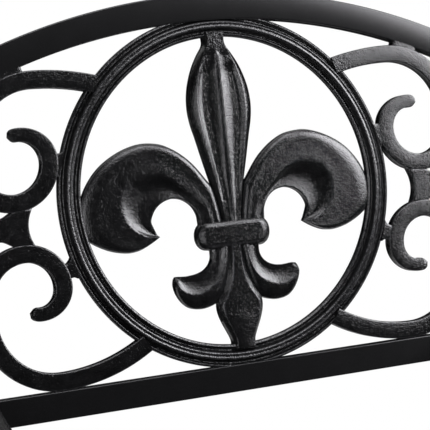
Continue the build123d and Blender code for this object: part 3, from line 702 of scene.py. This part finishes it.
# %% Sections of bar and tube
def rounded_bar(width, depth, corner, steps=6):
    """Outline of a bar: four quarter circles about the corner centres, joined by straights. The edge mask is
    1 in the middle of a corner and 0 where the flats begin."""
    turn = np.linspace(0, np.pi / 2, steps + 1)
    arc = corner * np.stack([np.cos(turn), np.sin(turn)], 1)
    centres = np.array([(1, 1), (-1, 1), (-1, -1), (1, -1)]) * (width / 2 - corner, depth / 2 - corner)
    quarter = np.array([[0.0, 1.0], [-1.0, 0.0]])
    rotations = [np.linalg.matrix_power(quarter, k) for k in range(4)]
    outline = np.vstack([centre + arc @ rotation for centre, rotation in zip(centres, rotations)])
    return outline, np.tile(np.sin(2 * turn), 4)


def flat_tube(crown=0.0):
    """Outline of the flat-sided tube, with points across its wide faces. A crown lowers the faces towards
    their edges by crown * (2x / width)^2, as rolling the tube does."""
    outline, edge = rounded_bar(TUBE_FACE, TUBE_DEPTH, TUBE_CORNER)
    across = (TUBE_FACE / 2 - TUBE_CORNER) * np.array([0.96, 0.75, 0.5, 0.25, 0.0, -0.25, -0.5, -0.75, -0.96])
    along = (TUBE_DEPTH / 2 - TUBE_CORNER) * np.array([-0.92, 0.92])
    face = np.column_stack([across, np.full(len(across), TUBE_DEPTH / 2)])
    side = np.column_stack([np.full(len(along), TUBE_FACE / 2), along])
    arcs, shine = outline.reshape(4, -1, 2), edge.reshape(4, -1)
    outline = np.vstack([arcs[0], face, arcs[1], -side, arcs[2], -face, arcs[3], side])
    edge = np.concatenate([shine[0], 0 * across, shine[1], 0 * along] * 2)
    sink = 1 - 2 * crown / TUBE_DEPTH * (2 * outline[:, 0] / TUBE_FACE) ** 2
    return np.column_stack([outline[:, 0], outline[:, 1] * sink]), edge


ROLLED_CROWN = 0.72
tube, tube_edge = flat_tube()
rolled_tube, rolled_edge = flat_tube(ROLLED_CROWN)
print("points round the tube:", len(tube))

# %% [markdown]
# ## The scroll brackets
#
# Each bracket is one casting in the form of two flat bars, wound into spirals that meet at a short stem on
# the post. A bar starts at the ring, crosses under the arch or along the lower rail, follows the post and
# winds round its own eye, where it narrows to a round tip. Flared necks tie it to the ring, and a broad web
# ties it to the arch. One spiral formula could draw the curl, but in a chain of arcs each bend has a radius
# of its own to set.

# %% Bar of a scroll
BAR_WIDTH, BAR_DEPTH, BAR_CORNER, TIP_WIDTH, BAR_LIFT = 15.0, 9.5, 1.3, 11.5, 1.75
LAST_TURN = np.radians(97.0)
# Distances to the tip between which the bar grows from the tip's width to its own
TAPER = (8.0, 42.0)
UPPER_SCROLL = dict(
    crown=(165.0, 107.6), root=(200.0, 15.6), outer=56.6, flank=11.3, inner=32.3, heel=32.5, eye=23.5,
)
LOWER_SCROLL = dict(
    crown=(165.0, -142.8), root=(146.0, 31.6), outer=56.6, flank=16.0, inner=35.8, heel=30.0, eye=21.0,
)


def scroll_shell(side, up, crown, root, outer, flank, inner, heel, eye):
    """Bar carried along the spiral in the back's plane: up is 1 or -1, crown the place where its first bend
    ends, root (radius, degrees) of that bend, which starts in the ring, flank a length, and the others radii.
    Its width eases from full to tip width over the last turn, and closes over the last half width along a
    half circle."""
    root_radius, root_turn = root[0], np.radians(root[1])
    start = np.array(crown) - (root_radius * np.sin(root_turn), up * root_radius * (1 - np.cos(root_turn)))
    quarter = np.pi / 2
    runs = [
        (root_radius * root_turn, root_radius, -up), (outer * quarter, outer, -up), (flank, 0, 0),
        (inner * quarter, inner, -up), (heel * quarter, heel, -up),
        (eye * LAST_TURN + TIP_WIDTH / 2, eye, -up),
    ]
    places, tangents, s = bent_path(start, up * root_turn, runs, spacing=1.6)
    left = s[-1] - s
    width = TIP_WIDTH + (BAR_WIDTH - TIP_WIDTH) * ramp(left, *TAPER)
    nose = np.maximum(quarter_round(left / (TIP_WIDTH / 2)), 0.02)
    outline, edge = rounded_bar(BAR_WIDTH, BAR_DEPTH, BAR_CORNER, 5)
    section = outline[None] * np.stack([width * nose / BAR_WIDTH, 0 * s + 1], 1)[:, None]
    path = on_back(side * places[:, 0], places[:, 1], BAR_LIFT)
    across = on_back(side * tangents[:, 1], -tangents[:, 0], 0.0) - RING_CENTRE
    front_edge = np.where(outline[:, 1] > 0, edge, 0)
    return sweep(path, across, np.broadcast_to(OUT, path.shape), section, front_edge)


scrolls = {
    side: [scroll_shell(side, 1, **UPPER_SCROLL), scroll_shell(side, -1, **LOWER_SCROLL)] for side in (1, -1)
}
print("points of the upper and the lower bar:", [len(shell[0]) for shell in scrolls[1]])

# %% Necks, web and stem, and both brackets
NECK_BASE = -2.8
# Necks to the ring, above and below, and the web to the arch
NECKS = [
    dict(foot=(147.0, 36.0), head=(158.0, 39.5), half_width=8.0, flare=3.5, top=6.1),
    dict(foot=(144.0, -51.0), head=(157.0, -55.0), half_width=6.0, flare=3.5, top=6.1),
    dict(foot=(180.0, 104.0), head=(184.6, 117.0), half_width=11.5, flare=0.5, top=5.4),
]
STEM_INNER, STEM_HOLLOW, STEM_OUTER, STEM_HEIGHT = 175.5, 4.5, 234.0, 6.3
STEM_MIDDLE, STEM_HALF_HEIGHT, STEM_FLARE, STEM_OPENS = -13.5, 9.4, 6.4, (204.0, 188.0)
STEM_ROUND, STEM_ROUND_DROP, STEM_SIDE_SCALE, STEM_END_SCALE = 1.3, 1.2, 10.0, 40.0


def neck_shell(side, foot, head, half_width, flare, top):
    """Short tie from foot to head: its half width grows towards both ends by flare * (2y - 1)^2, and its top
    falls by 0.5 x^8 towards its edges."""
    y, x = np.meshgrid(np.linspace(0, 1, 17), np.linspace(-1, 1, 17), indexing="ij")
    run = np.subtract(head, foot)
    cross = np.array([run[1], -run[0]]) / np.linalg.norm(run)
    spread = x * (half_width + flare * (2 * y - 1) ** 2)
    u, v = foot[0] + run[0] * y + cross[0] * spread, foot[1] + run[1] * y + cross[1] * spread
    return slab(side * u, v, top - 0.5 * np.abs(x) ** 8, NECK_BASE, 0.5 * np.abs(x) ** 6)


def stem_shell(side):
    """Stem from the post to the two spirals: it widens until it meets both, and its inner end is hollowed."""
    y, x = np.meshgrid(np.linspace(-1, 1, 33), np.linspace(0, 1, 41), indexing="ij")
    inner_end = STEM_INNER + STEM_HOLLOW * (1 - y ** 2)
    u = inner_end + x * (STEM_OUTER - inner_end)
    v = STEM_MIDDLE + y * (STEM_HALF_HEIGHT + STEM_FLARE * ramp(u, *STEM_OPENS))
    from_rim = np.minimum(STEM_SIDE_SCALE * (1 - np.abs(y)), STEM_END_SCALE * x)
    height = STEM_HEIGHT - STEM_ROUND_DROP * (1 - quarter_round(from_rim / STEM_ROUND))
    return slab(side * u, v, height, NECK_BASE, 0.6 * ridge(from_rim, 0.8))


for name, side in (("right", 1), ("left", -1)):
    shells = scrolls[side] + [stem_shell(side)] + [neck_shell(side, **neck) for neck in NECKS]
    make_piece(f"scroll_casting_{name}", shells, CAST_BLACK, [f"scroll_bracket_{name}"])

# %% [markdown]
# ## Tube of the frame
#
# The arch, the rails and the legs are one size of flat-sided tube. Its section carried along each path
# gives the tube, and where the arch meets a post the last section is slid onto the plane of the mitre.
# Boxes with a bevel could stand for the straight ones, but one sweep serves the straight and the bent
# alike, and keeps the small round of the corners, where black tube shows its thin lines of light. Rolling
# has left the arch's faces a little crowned. The arms are a wider flat tube, turned down at the front, with
# a plug in the end.

# %% Arch and lower rail
MITRE_IN, MITRE_OUT = np.array([230.3, 94.75]), np.array([253.7, 109.21])


def mitre(side):
    """Plane of the weld between arch and post, through its inner and outer corners: a point and the normal,
    which is the line between the corners turned by a right angle."""
    run = (MITRE_OUT - MITRE_IN) / np.linalg.norm(MITRE_OUT - MITRE_IN)
    return on_back(side * MITRE_IN[0], MITRE_IN[1], 0.0), -run[1] * side * ACROSS + run[0] * UP_BACK


arch_turn = np.linspace(-1, 1, 121) * np.arcsin(POST_X / ARCH_RADIUS)
arch_path = on_back(ARCH_RADIUS * np.sin(arch_turn), ARCH_CENTRE + ARCH_RADIUS * np.cos(arch_turn), 0.0)
arch_side = np.sin(arch_turn)[:, None] * ACROSS + np.cos(arch_turn)[:, None] * UP_BACK
arch_out = np.broadcast_to(OUT, arch_path.shape)
arch = sweep(arch_path, arch_side, arch_out, rolled_tube, rolled_edge, (mitre(-1), mitre(1)))
make_piece("arch_tube", [arch], TUBE_BLACK, ["back_top_rail"])

RAIL_STEPS = 41
rail_across = np.linspace(-RAIL_HALF_LENGTH, RAIL_HALF_LENGTH, RAIL_STEPS)
rail_path = on_back(rail_across, LOWER_RAIL_V, 0.0)
rail_up, rail_out = (np.broadcast_to(way, rail_path.shape) for way in (UP_BACK, OUT))
rail = sweep(rail_path, rail_up, rail_out, tube, tube_edge)
make_piece("lower_rail_tube", [rail], TUBE_BLACK, ["back_lower_rail"])


# %% Rear legs
POST_PAST_RING = 101.5


def upright_sweep(x, places, tangents, section, edge=0.0, ends=(None, None)):
    """A section carried along a path in the plane across the chair's side, at x."""
    path = np.column_stack([np.full(len(places), x), places])
    out = np.column_stack([0 * places[:, 0], -tangents[:, 1], tangents[:, 0]])
    return sweep(path, np.broadcast_to(ACROSS, path.shape), out, section, edge, ends)


bend_turn = LEAN + SPLAY
setback = BEND_RADIUS * np.tan(bend_turn / 2)
leg_length = (BEND[1] - GLIDE_TOP) / np.cos(SPLAY) - setback
post_length = (RING_CENTRE[2] - BEND[1]) / np.cos(LEAN) + POST_PAST_RING - setback
rear_foot = (BEND[0] + (BEND[1] - GLIDE_TOP) * np.tan(SPLAY), GLIDE_TOP)
leg_runs = [(leg_length, 0, 0), (BEND_RADIUS * bend_turn, BEND_RADIUS, -1), (post_length, 0, 0)]
leg_places, leg_tangents, leg_s = bent_path(rear_foot, np.pi / 2 + SPLAY, leg_runs, spacing=8.0)
print("rear leg, along its middle:", round(leg_s[-1], 1), "mm")

# %% Armrests and their caps
ARM_X, ARM_LEVEL, ARM_WIDTH, ARM_DEPTH, ARM_CORNER = 250.3, 620.0, 40.0, 20.0, 4.0
ARM_OVERHANG, ARM_BEND_RADIUS, ARM_TIP = 14.76, 70.0, 16.0
arm_straight = RING_CENTRE[1] - (FRONT_LEG_Y - TUBE_DEPTH / 2 - ARM_OVERHANG)
arm_dip = np.radians(35.0)
arm_runs = [(arm_straight, 0, 0), (ARM_BEND_RADIUS * arm_dip, ARM_BEND_RADIUS, 1), (ARM_TIP, 0, 0)]
arm_places, arm_tangents, arm_s = bent_path((RING_CENTRE[1], ARM_LEVEL), np.pi, arm_runs, spacing=5.0)
arm_section, arm_edge = rounded_bar(ARM_WIDTH, ARM_DEPTH, ARM_CORNER)
# The rear end is slid onto the plane of the back
arm_ends = ((RING_CENTRE, OUT), None)

CAP_LENGTH, CAP_ROUND, CAP_ROUND_SHARE, CAP_STEPS = 3.0, 2.4, 0.98, 9
cap_steps = np.linspace(0, 1, CAP_STEPS)
cap_inset = CAP_ROUND * (1 - np.sqrt(1 - (cap_steps * CAP_ROUND_SHARE) ** 2))
cap_scale = np.stack([1 - 2 * cap_inset / ARM_WIDTH, 1 - 2 * cap_inset / ARM_DEPTH], 1)
cap_section = arm_section[None] * cap_scale[:, None]
cap_places = arm_places[-1] + cap_steps[:, None] * CAP_LENGTH * arm_tangents[-1]
cap_tangents = np.tile(arm_tangents[-1], (CAP_STEPS, 1))
print("arm, along its middle:", round(arm_s[-1], 1), "mm")

# %% Front legs, and the legs and arms of both sides
front_heights = np.linspace(GLIDE_TOP, ARM_LEVEL - ARM_DEPTH / 2, 25)
front_places = np.column_stack([0 * front_heights + FRONT_LEG_Y, front_heights])
front_tangents = np.tile((0.0, 1.0), (len(front_heights), 1))

for name, side in (("right", 1), ("left", -1)):
    top = mitre(side)
    foot = (np.array([side * POST_X, *rear_foot]), np.array([0.0, 0.0, 1.0]))
    leg = upright_sweep(side * POST_X, leg_places, leg_tangents, tube, tube_edge, (foot, top))
    make_piece(f"rear_leg_tube_{name}", [leg], TUBE_BLACK, [f"rear_leg_{name}"])
    front = upright_sweep(side * POST_X, front_places, front_tangents, tube, tube_edge)
    make_piece(f"front_leg_tube_{name}", [front], TUBE_BLACK, [f"front_leg_{name}"])
    arm = upright_sweep(side * ARM_X, arm_places, arm_tangents, arm_section, arm_edge, arm_ends)
    make_piece(f"armrest_tube_{name}", [arm], TUBE_BLACK, [f"armrest_{name}"])
    cap = upright_sweep(side * ARM_X, cap_places, cap_tangents, cap_section, arm_edge)
    make_piece(f"armrest_end_{name}", [cap], FOOT_BLACK, [f"armrest_cap_{name}"])

# %% [markdown]
# ## The seat and the feet
#
# Nine flat bars lie from the rear rail over the front rail and turn down at the front. An Array modifier
# could repeat one bar, but each is a piece of its own on the chair, so a loop makes them one by one. The
# rails are the same tube, on edge. Each leg ends in a moulded plastic foot with a soft edge.

# %% Seat rails
Y_AXIS, Z_AXIS = np.array([0.0, 1.0, 0.0]), np.array([0.0, 0.0, 1.0])


def straight_sweep(path, side, out, section, edge=0.0, ends=(None, None)):
    """A section carried along a straight path, with the same side and out all along."""
    side, out = np.broadcast_to(side, path.shape), np.broadcast_to(out, path.shape)
    return sweep(path, side, out, section, edge, ends)


level = np.full(RAIL_STEPS, RAIL_LEVEL)
for name, y in (("front", FRONT_LEG_Y), ("rear", REAR_RAIL_Y)):
    path = np.column_stack([rail_across, np.full(RAIL_STEPS, y), level])
    shell = straight_sweep(path, Z_AXIS, Y_AXIS, tube, tube_edge)
    make_piece(f"seat_{name}_tube", [shell], TUBE_BLACK, [f"seat_{name}_rail"])

# A side rail starts at the front leg, and its other end is slid onto the front of the splayed rear leg
WELD_GAP, SHORT_OF_RAIL = 0.1, 9.0
side_rail_y = np.linspace(FRONT_LEG_Y + TUBE_DEPTH / 2 + WELD_GAP, REAR_RAIL_Y - SHORT_OF_RAIL, RAIL_STEPS)
leg_front = np.array([0.0, -np.cos(SPLAY), -np.sin(SPLAY)])
on_leg = np.array([0.0, REAR_RAIL_Y, RAIL_LEVEL]) + (TUBE_DEPTH / 2 + WELD_GAP) * leg_front
for name, side in (("right", 1), ("left", -1)):
    path = np.column_stack([np.full(RAIL_STEPS, side * POST_X), side_rail_y, level])
    shell = straight_sweep(path, Z_AXIS, ACROSS, tube, tube_edge, (None, (on_leg, leg_front)))
    make_piece(f"seat_side_tube_{name}", [shell], TUBE_BLACK, [f"seat_side_rail_{name}"])

# %% Slats and brace
SLAT_COUNT, SLAT_PITCH, SLAT_LEVEL, SLAT_OVERHANG = 9, 47.0, 438.0, 10.8
SLAT_WIDTH, SLAT_THICKNESS, SLAT_CORNER = 30.0, 4.0, 1.4
SLAT_BEND_RADIUS, SLAT_BEND = 24.0, np.radians(65.0)
slat_section, slat_edge = rounded_bar(SLAT_WIDTH, SLAT_THICKNESS, SLAT_CORNER)
slat_straight = REAR_RAIL_Y - FRONT_LEG_Y + SLAT_OVERHANG
slat_runs = [(slat_straight, 0, 0), (SLAT_BEND_RADIUS * SLAT_BEND, SLAT_BEND_RADIUS, 1)]
slat_start = (REAR_RAIL_Y + TUBE_DEPTH / 2, SLAT_LEVEL)
slat_places, slat_tangents, _ = bent_path(slat_start, np.pi, slat_runs, spacing=4.0)
for number in range(SLAT_COUNT):
    slat_x = (number - SLAT_COUNT // 2) * SLAT_PITCH
    shell = upright_sweep(slat_x, slat_places, slat_tangents, slat_section, slat_edge)
    make_piece(f"seat_bar_{number + 1}", [shell], TUBE_BLACK, [f"seat_slat_{number + 1}"])

BRACE_HALF_LENGTH, BRACE_LEVEL = 235.9, 423.5
BRACE_THICKNESS, BRACE_DEPTH, BRACE_CORNER = 5.0, 25.0, 1.2
brace_section, brace_edge = rounded_bar(BRACE_THICKNESS, BRACE_DEPTH, BRACE_CORNER)
brace_x = np.linspace(-BRACE_HALF_LENGTH, BRACE_HALF_LENGTH, RAIL_STEPS)
brace_y = np.full(RAIL_STEPS, (FRONT_LEG_Y + REAR_RAIL_Y) / 2)
brace_path = np.column_stack([brace_x, brace_y, np.full(RAIL_STEPS, BRACE_LEVEL)])
brace = straight_sweep(brace_path, Y_AXIS, Z_AXIS, brace_section, brace_edge)
make_piece("seat_brace_bar", [brace], TUBE_BLACK, ["seat_brace"])

# %% Feet
# Heights above the floor, and how far the outline stands in from the tube's there
foot_rise = np.array([0.0, 0.1, 0.35, 0.8, 1.4, 2.2, 7.4, 7.8, 8.0])
foot_inset = np.array([1.9, 1.3, 0.8, 0.35, 0.1, 0.0, 0.0, 0.15, 0.4])
foot_scale = np.stack([1 - 2 * foot_inset / TUBE_FACE, 1 - 2 * foot_inset / TUBE_DEPTH], 1)
foot_section = tube[None] * foot_scale[:, None]
for name, y in (("front", FRONT_LEG_Y), ("rear", rear_foot[0])):
    for hand, side in (("right", 1), ("left", -1)):
        path = np.column_stack([0 * foot_rise + side * POST_X, 0 * foot_rise + y, foot_rise])
        shell = straight_sweep(path, ACROSS, Y_AXIS, foot_section)
        make_piece(f"foot_{name}_{hand}", [shell], FOOT_BLACK, [f"foot_glide_{name}_{hand}"])

# %% [markdown]
# ## Floor, light and camera
#
# The chair stands on a pale floor in white surroundings. Black paint shows hardly any colour of its own, so
# what it mirrors makes the picture: a strong softbox to the right, a smaller one above and a weak one to
# the left. Stronger lamps could whiten the surroundings too, but they would wash out the paint, so white is
# given only to the rays that show the surroundings. Black cards in front, behind and over most of the floor
# keep that white out of the paint's reflections. A strip of floor behind the chair stays open, so that the
# back can be read from behind.

# %% Floor and white surroundings
WHITE = (1.0, 1.0, 1.0, 1.0)
FLOOR_SIZE, FLOOR_TONE, FADE_FROM, FADE_TO = 7.0, 0.86, 0.6, 1.25
AMBIENT_GREY, AMBIENT_STRENGTH = (0.5, 0.5, 0.5, 1.0), 0.8


def stage_material(name, shader_kind, inputs):
    """A material with one shader."""
    material = bpy.data.materials.new(name)
    material.use_nodes = True
    tree = material.node_tree
    tree.nodes.remove(tree.nodes["Principled BSDF"])
    shader = add_node(tree, shader_kind, inputs)
    tree.links.new(shader.outputs[0], tree.nodes["Material Output"].inputs["Surface"])
    return material


def seen_white(tree):
    """1 for rays that show the background: from the camera, in a reflection or through glass."""
    path = add_node(tree, "ShaderNodeLightPath").outputs
    shown = math(tree, "MAXIMUM", path["Is Camera Ray"], path["Is Glossy Ray"])
    return math(tree, "MAXIMUM", shown, path["Is Transmission Ray"])


floor_mesh = bpy.data.meshes.new("floor")
corners = FLOOR_SIZE * np.array([(-1, -1, 0), (1, -1, 0), (1, 1, 0), (-1, 1, 0)], float)
floor_mesh.from_pydata(corners, [], [[0, 1, 2, 3]])
floor = bpy.data.objects.new("floor", floor_mesh)
bpy.context.scene.collection.objects.link(floor)
floor_tone = (FLOOR_TONE, FLOOR_TONE, FLOOR_TONE, 1.0)
floor_paint = stage_material("pale_floor", "ShaderNodeBsdfDiffuse", {"Color": floor_tone})
tree = floor_paint.node_tree
from_middle = add_node(tree, "ShaderNodeTexCoord").outputs["Object"]
far = add_node(tree, "ShaderNodeVectorMath", {0: from_middle}, operation="LENGTH").outputs["Value"]
faded = math(tree, "MULTIPLY", remap(tree, far, FADE_FROM, FADE_TO), seen_white(tree))
white = add_node(tree, "ShaderNodeEmission", {"Color": WHITE, "Strength": 1.0}).outputs[0]
mixed = add_node(tree, "ShaderNodeMixShader", {0: faded, 1: tree.nodes["Diffuse BSDF"].outputs[0], 2: white})
tree.links.new(mixed.outputs[0], tree.nodes["Material Output"].inputs["Surface"])
floor_mesh.materials.append(floor_paint)

world = bpy.data.worlds.new("white_studio")
bpy.context.scene.world = world
world.use_nodes = True
tree = world.node_tree
soft = tree.nodes["Background"]
soft.inputs["Color"].default_value = AMBIENT_GREY
soft.inputs["Strength"].default_value = AMBIENT_STRENGTH
white = add_node(tree, "ShaderNodeBackground", {"Color": WHITE, "Strength": 1.0}).outputs[0]
mixed = add_node(tree, "ShaderNodeMixShader", {0: seen_white(tree), 1: soft.outputs[0], 2: white})
tree.links.new(mixed.outputs[0], tree.nodes["World Output"].inputs["Surface"])
print("floor reaches", FLOOR_SIZE, "m each way, world:", world.name)


# %% Black cards
CARD_DISTANCE, CARD_HALF_WIDTH, CARD_LIFT = 2.6, 2.2, 0.0005
FLOOR_CARD_ENDS, OPEN_FLOOR = (-2.4, 2.6), (0.3, 0.95)


def toward(azimuth, elevation):
    """Direction from the back: azimuth to the right of straight ahead, elevation above level, in degrees."""
    a, e = np.radians(azimuth), np.radians(elevation)
    return np.array([np.sin(a) * np.cos(e), -np.cos(a) * np.cos(e), np.sin(e)])


def black_card(name, points):
    """A black card over a grid of points, seen only in reflections."""
    index = np.arange(points.shape[0] * points.shape[1]).reshape(points.shape[:2])
    mesh = bpy.data.meshes.new(name)
    mesh.from_pydata(points.reshape(-1, 3), [], quads(index).tolist())
    mesh.materials.append(stage_material(name, "ShaderNodeBsdfDiffuse", {"Color": (0.0, 0.0, 0.0, 1.0)}))
    card = bpy.data.objects.new(name, mesh)
    bpy.context.scene.collection.objects.link(card)
    card.visible_camera = card.visible_diffuse = False
    card.visible_shadow = card.visible_transmission = False


def round_card(name, azimuths, elevations):
    """A card on a sphere about the ring's centre."""
    a, e = np.meshgrid(np.linspace(*azimuths, 25), np.linspace(*elevations, 25), indexing="ij")
    black_card(name, RING_CENTRE * MM + CARD_DISTANCE * np.moveaxis(toward(a, e), 0, -1))


round_card("front_card", azimuths=(-112.0, 112.0), elevations=(-22.0, 80.0))
round_card("back_card", azimuths=(110.0, 250.0), elevations=(-16.0, 25.0))
floor_cards = {
    "floor_card": (FLOOR_CARD_ENDS[0], OPEN_FLOOR[0]),
    "far_floor_card": (OPEN_FLOOR[1], FLOOR_CARD_ENDS[1]),
}
for name, card_ends in floor_cards.items():
    card_x, card_y = np.meshgrid((-CARD_HALF_WIDTH, CARD_HALF_WIDTH), card_ends, indexing="ij")
    black_card(name, np.stack([card_x, card_y, 0 * card_x + CARD_LIFT], -1))
print("floor left open behind the chair, in metres:", OPEN_FLOOR)


# %% Softboxes
LAMP_TINT = (0.97, 0.965, 1.0)


def softbox(name, azimuth, elevation, distance, width, height, radiance):
    """Area lamp that faces the back, placed in degrees and metres. Its power is radiance * pi * area."""
    lamp = bpy.data.lights.new(name, "AREA")
    lamp.shape, lamp.size, lamp.size_y = "RECTANGLE", width, height
    lamp.energy = radiance * np.pi * width * height
    lamp.color = LAMP_TINT
    holder = bpy.data.objects.new(name, lamp)
    bpy.context.scene.collection.objects.link(holder)
    direction = toward(azimuth, elevation)
    holder.location = RING_CENTRE * MM + distance * direction
    holder.rotation_euler = Vector(direction).to_track_quat("Z", "Y").to_euler()
    print(f"{name}: {lamp.energy:.1f} W")


softbox("key_softbox", azimuth=64.0, elevation=28.0, distance=1.5, width=1.1, height=1.0, radiance=9.0)
softbox("top_softbox", azimuth=20.0, elevation=68.0, distance=1.5, width=0.9, height=0.6, radiance=5.0)
softbox("left_softbox", azimuth=-36.0, elevation=12.0, distance=1.6, width=0.6, height=0.8, radiance=3.0)

# %% Camera
LENS, SENSOR = 122.41, 36.0
CAMERA_PLACE, CAMERA_LOOK = (-0.4688, -0.8608, 1.0916), (0.3598, 0.8902, -0.2793)
camera = bpy.data.objects.new("camera", bpy.data.cameras.new("camera"))
bpy.context.scene.collection.objects.link(camera)
camera.data.sensor_width, camera.data.lens = SENSOR, LENS
camera.location = CAMERA_PLACE
camera.rotation_euler = Vector(CAMERA_LOOK).to_track_quat("-Z", "Y").to_euler()
bpy.context.scene.camera = camera
bpy.context.scene.view_settings.view_transform = "Standard"
print("camera:", tuple(camera.location), "lens:", LENS)
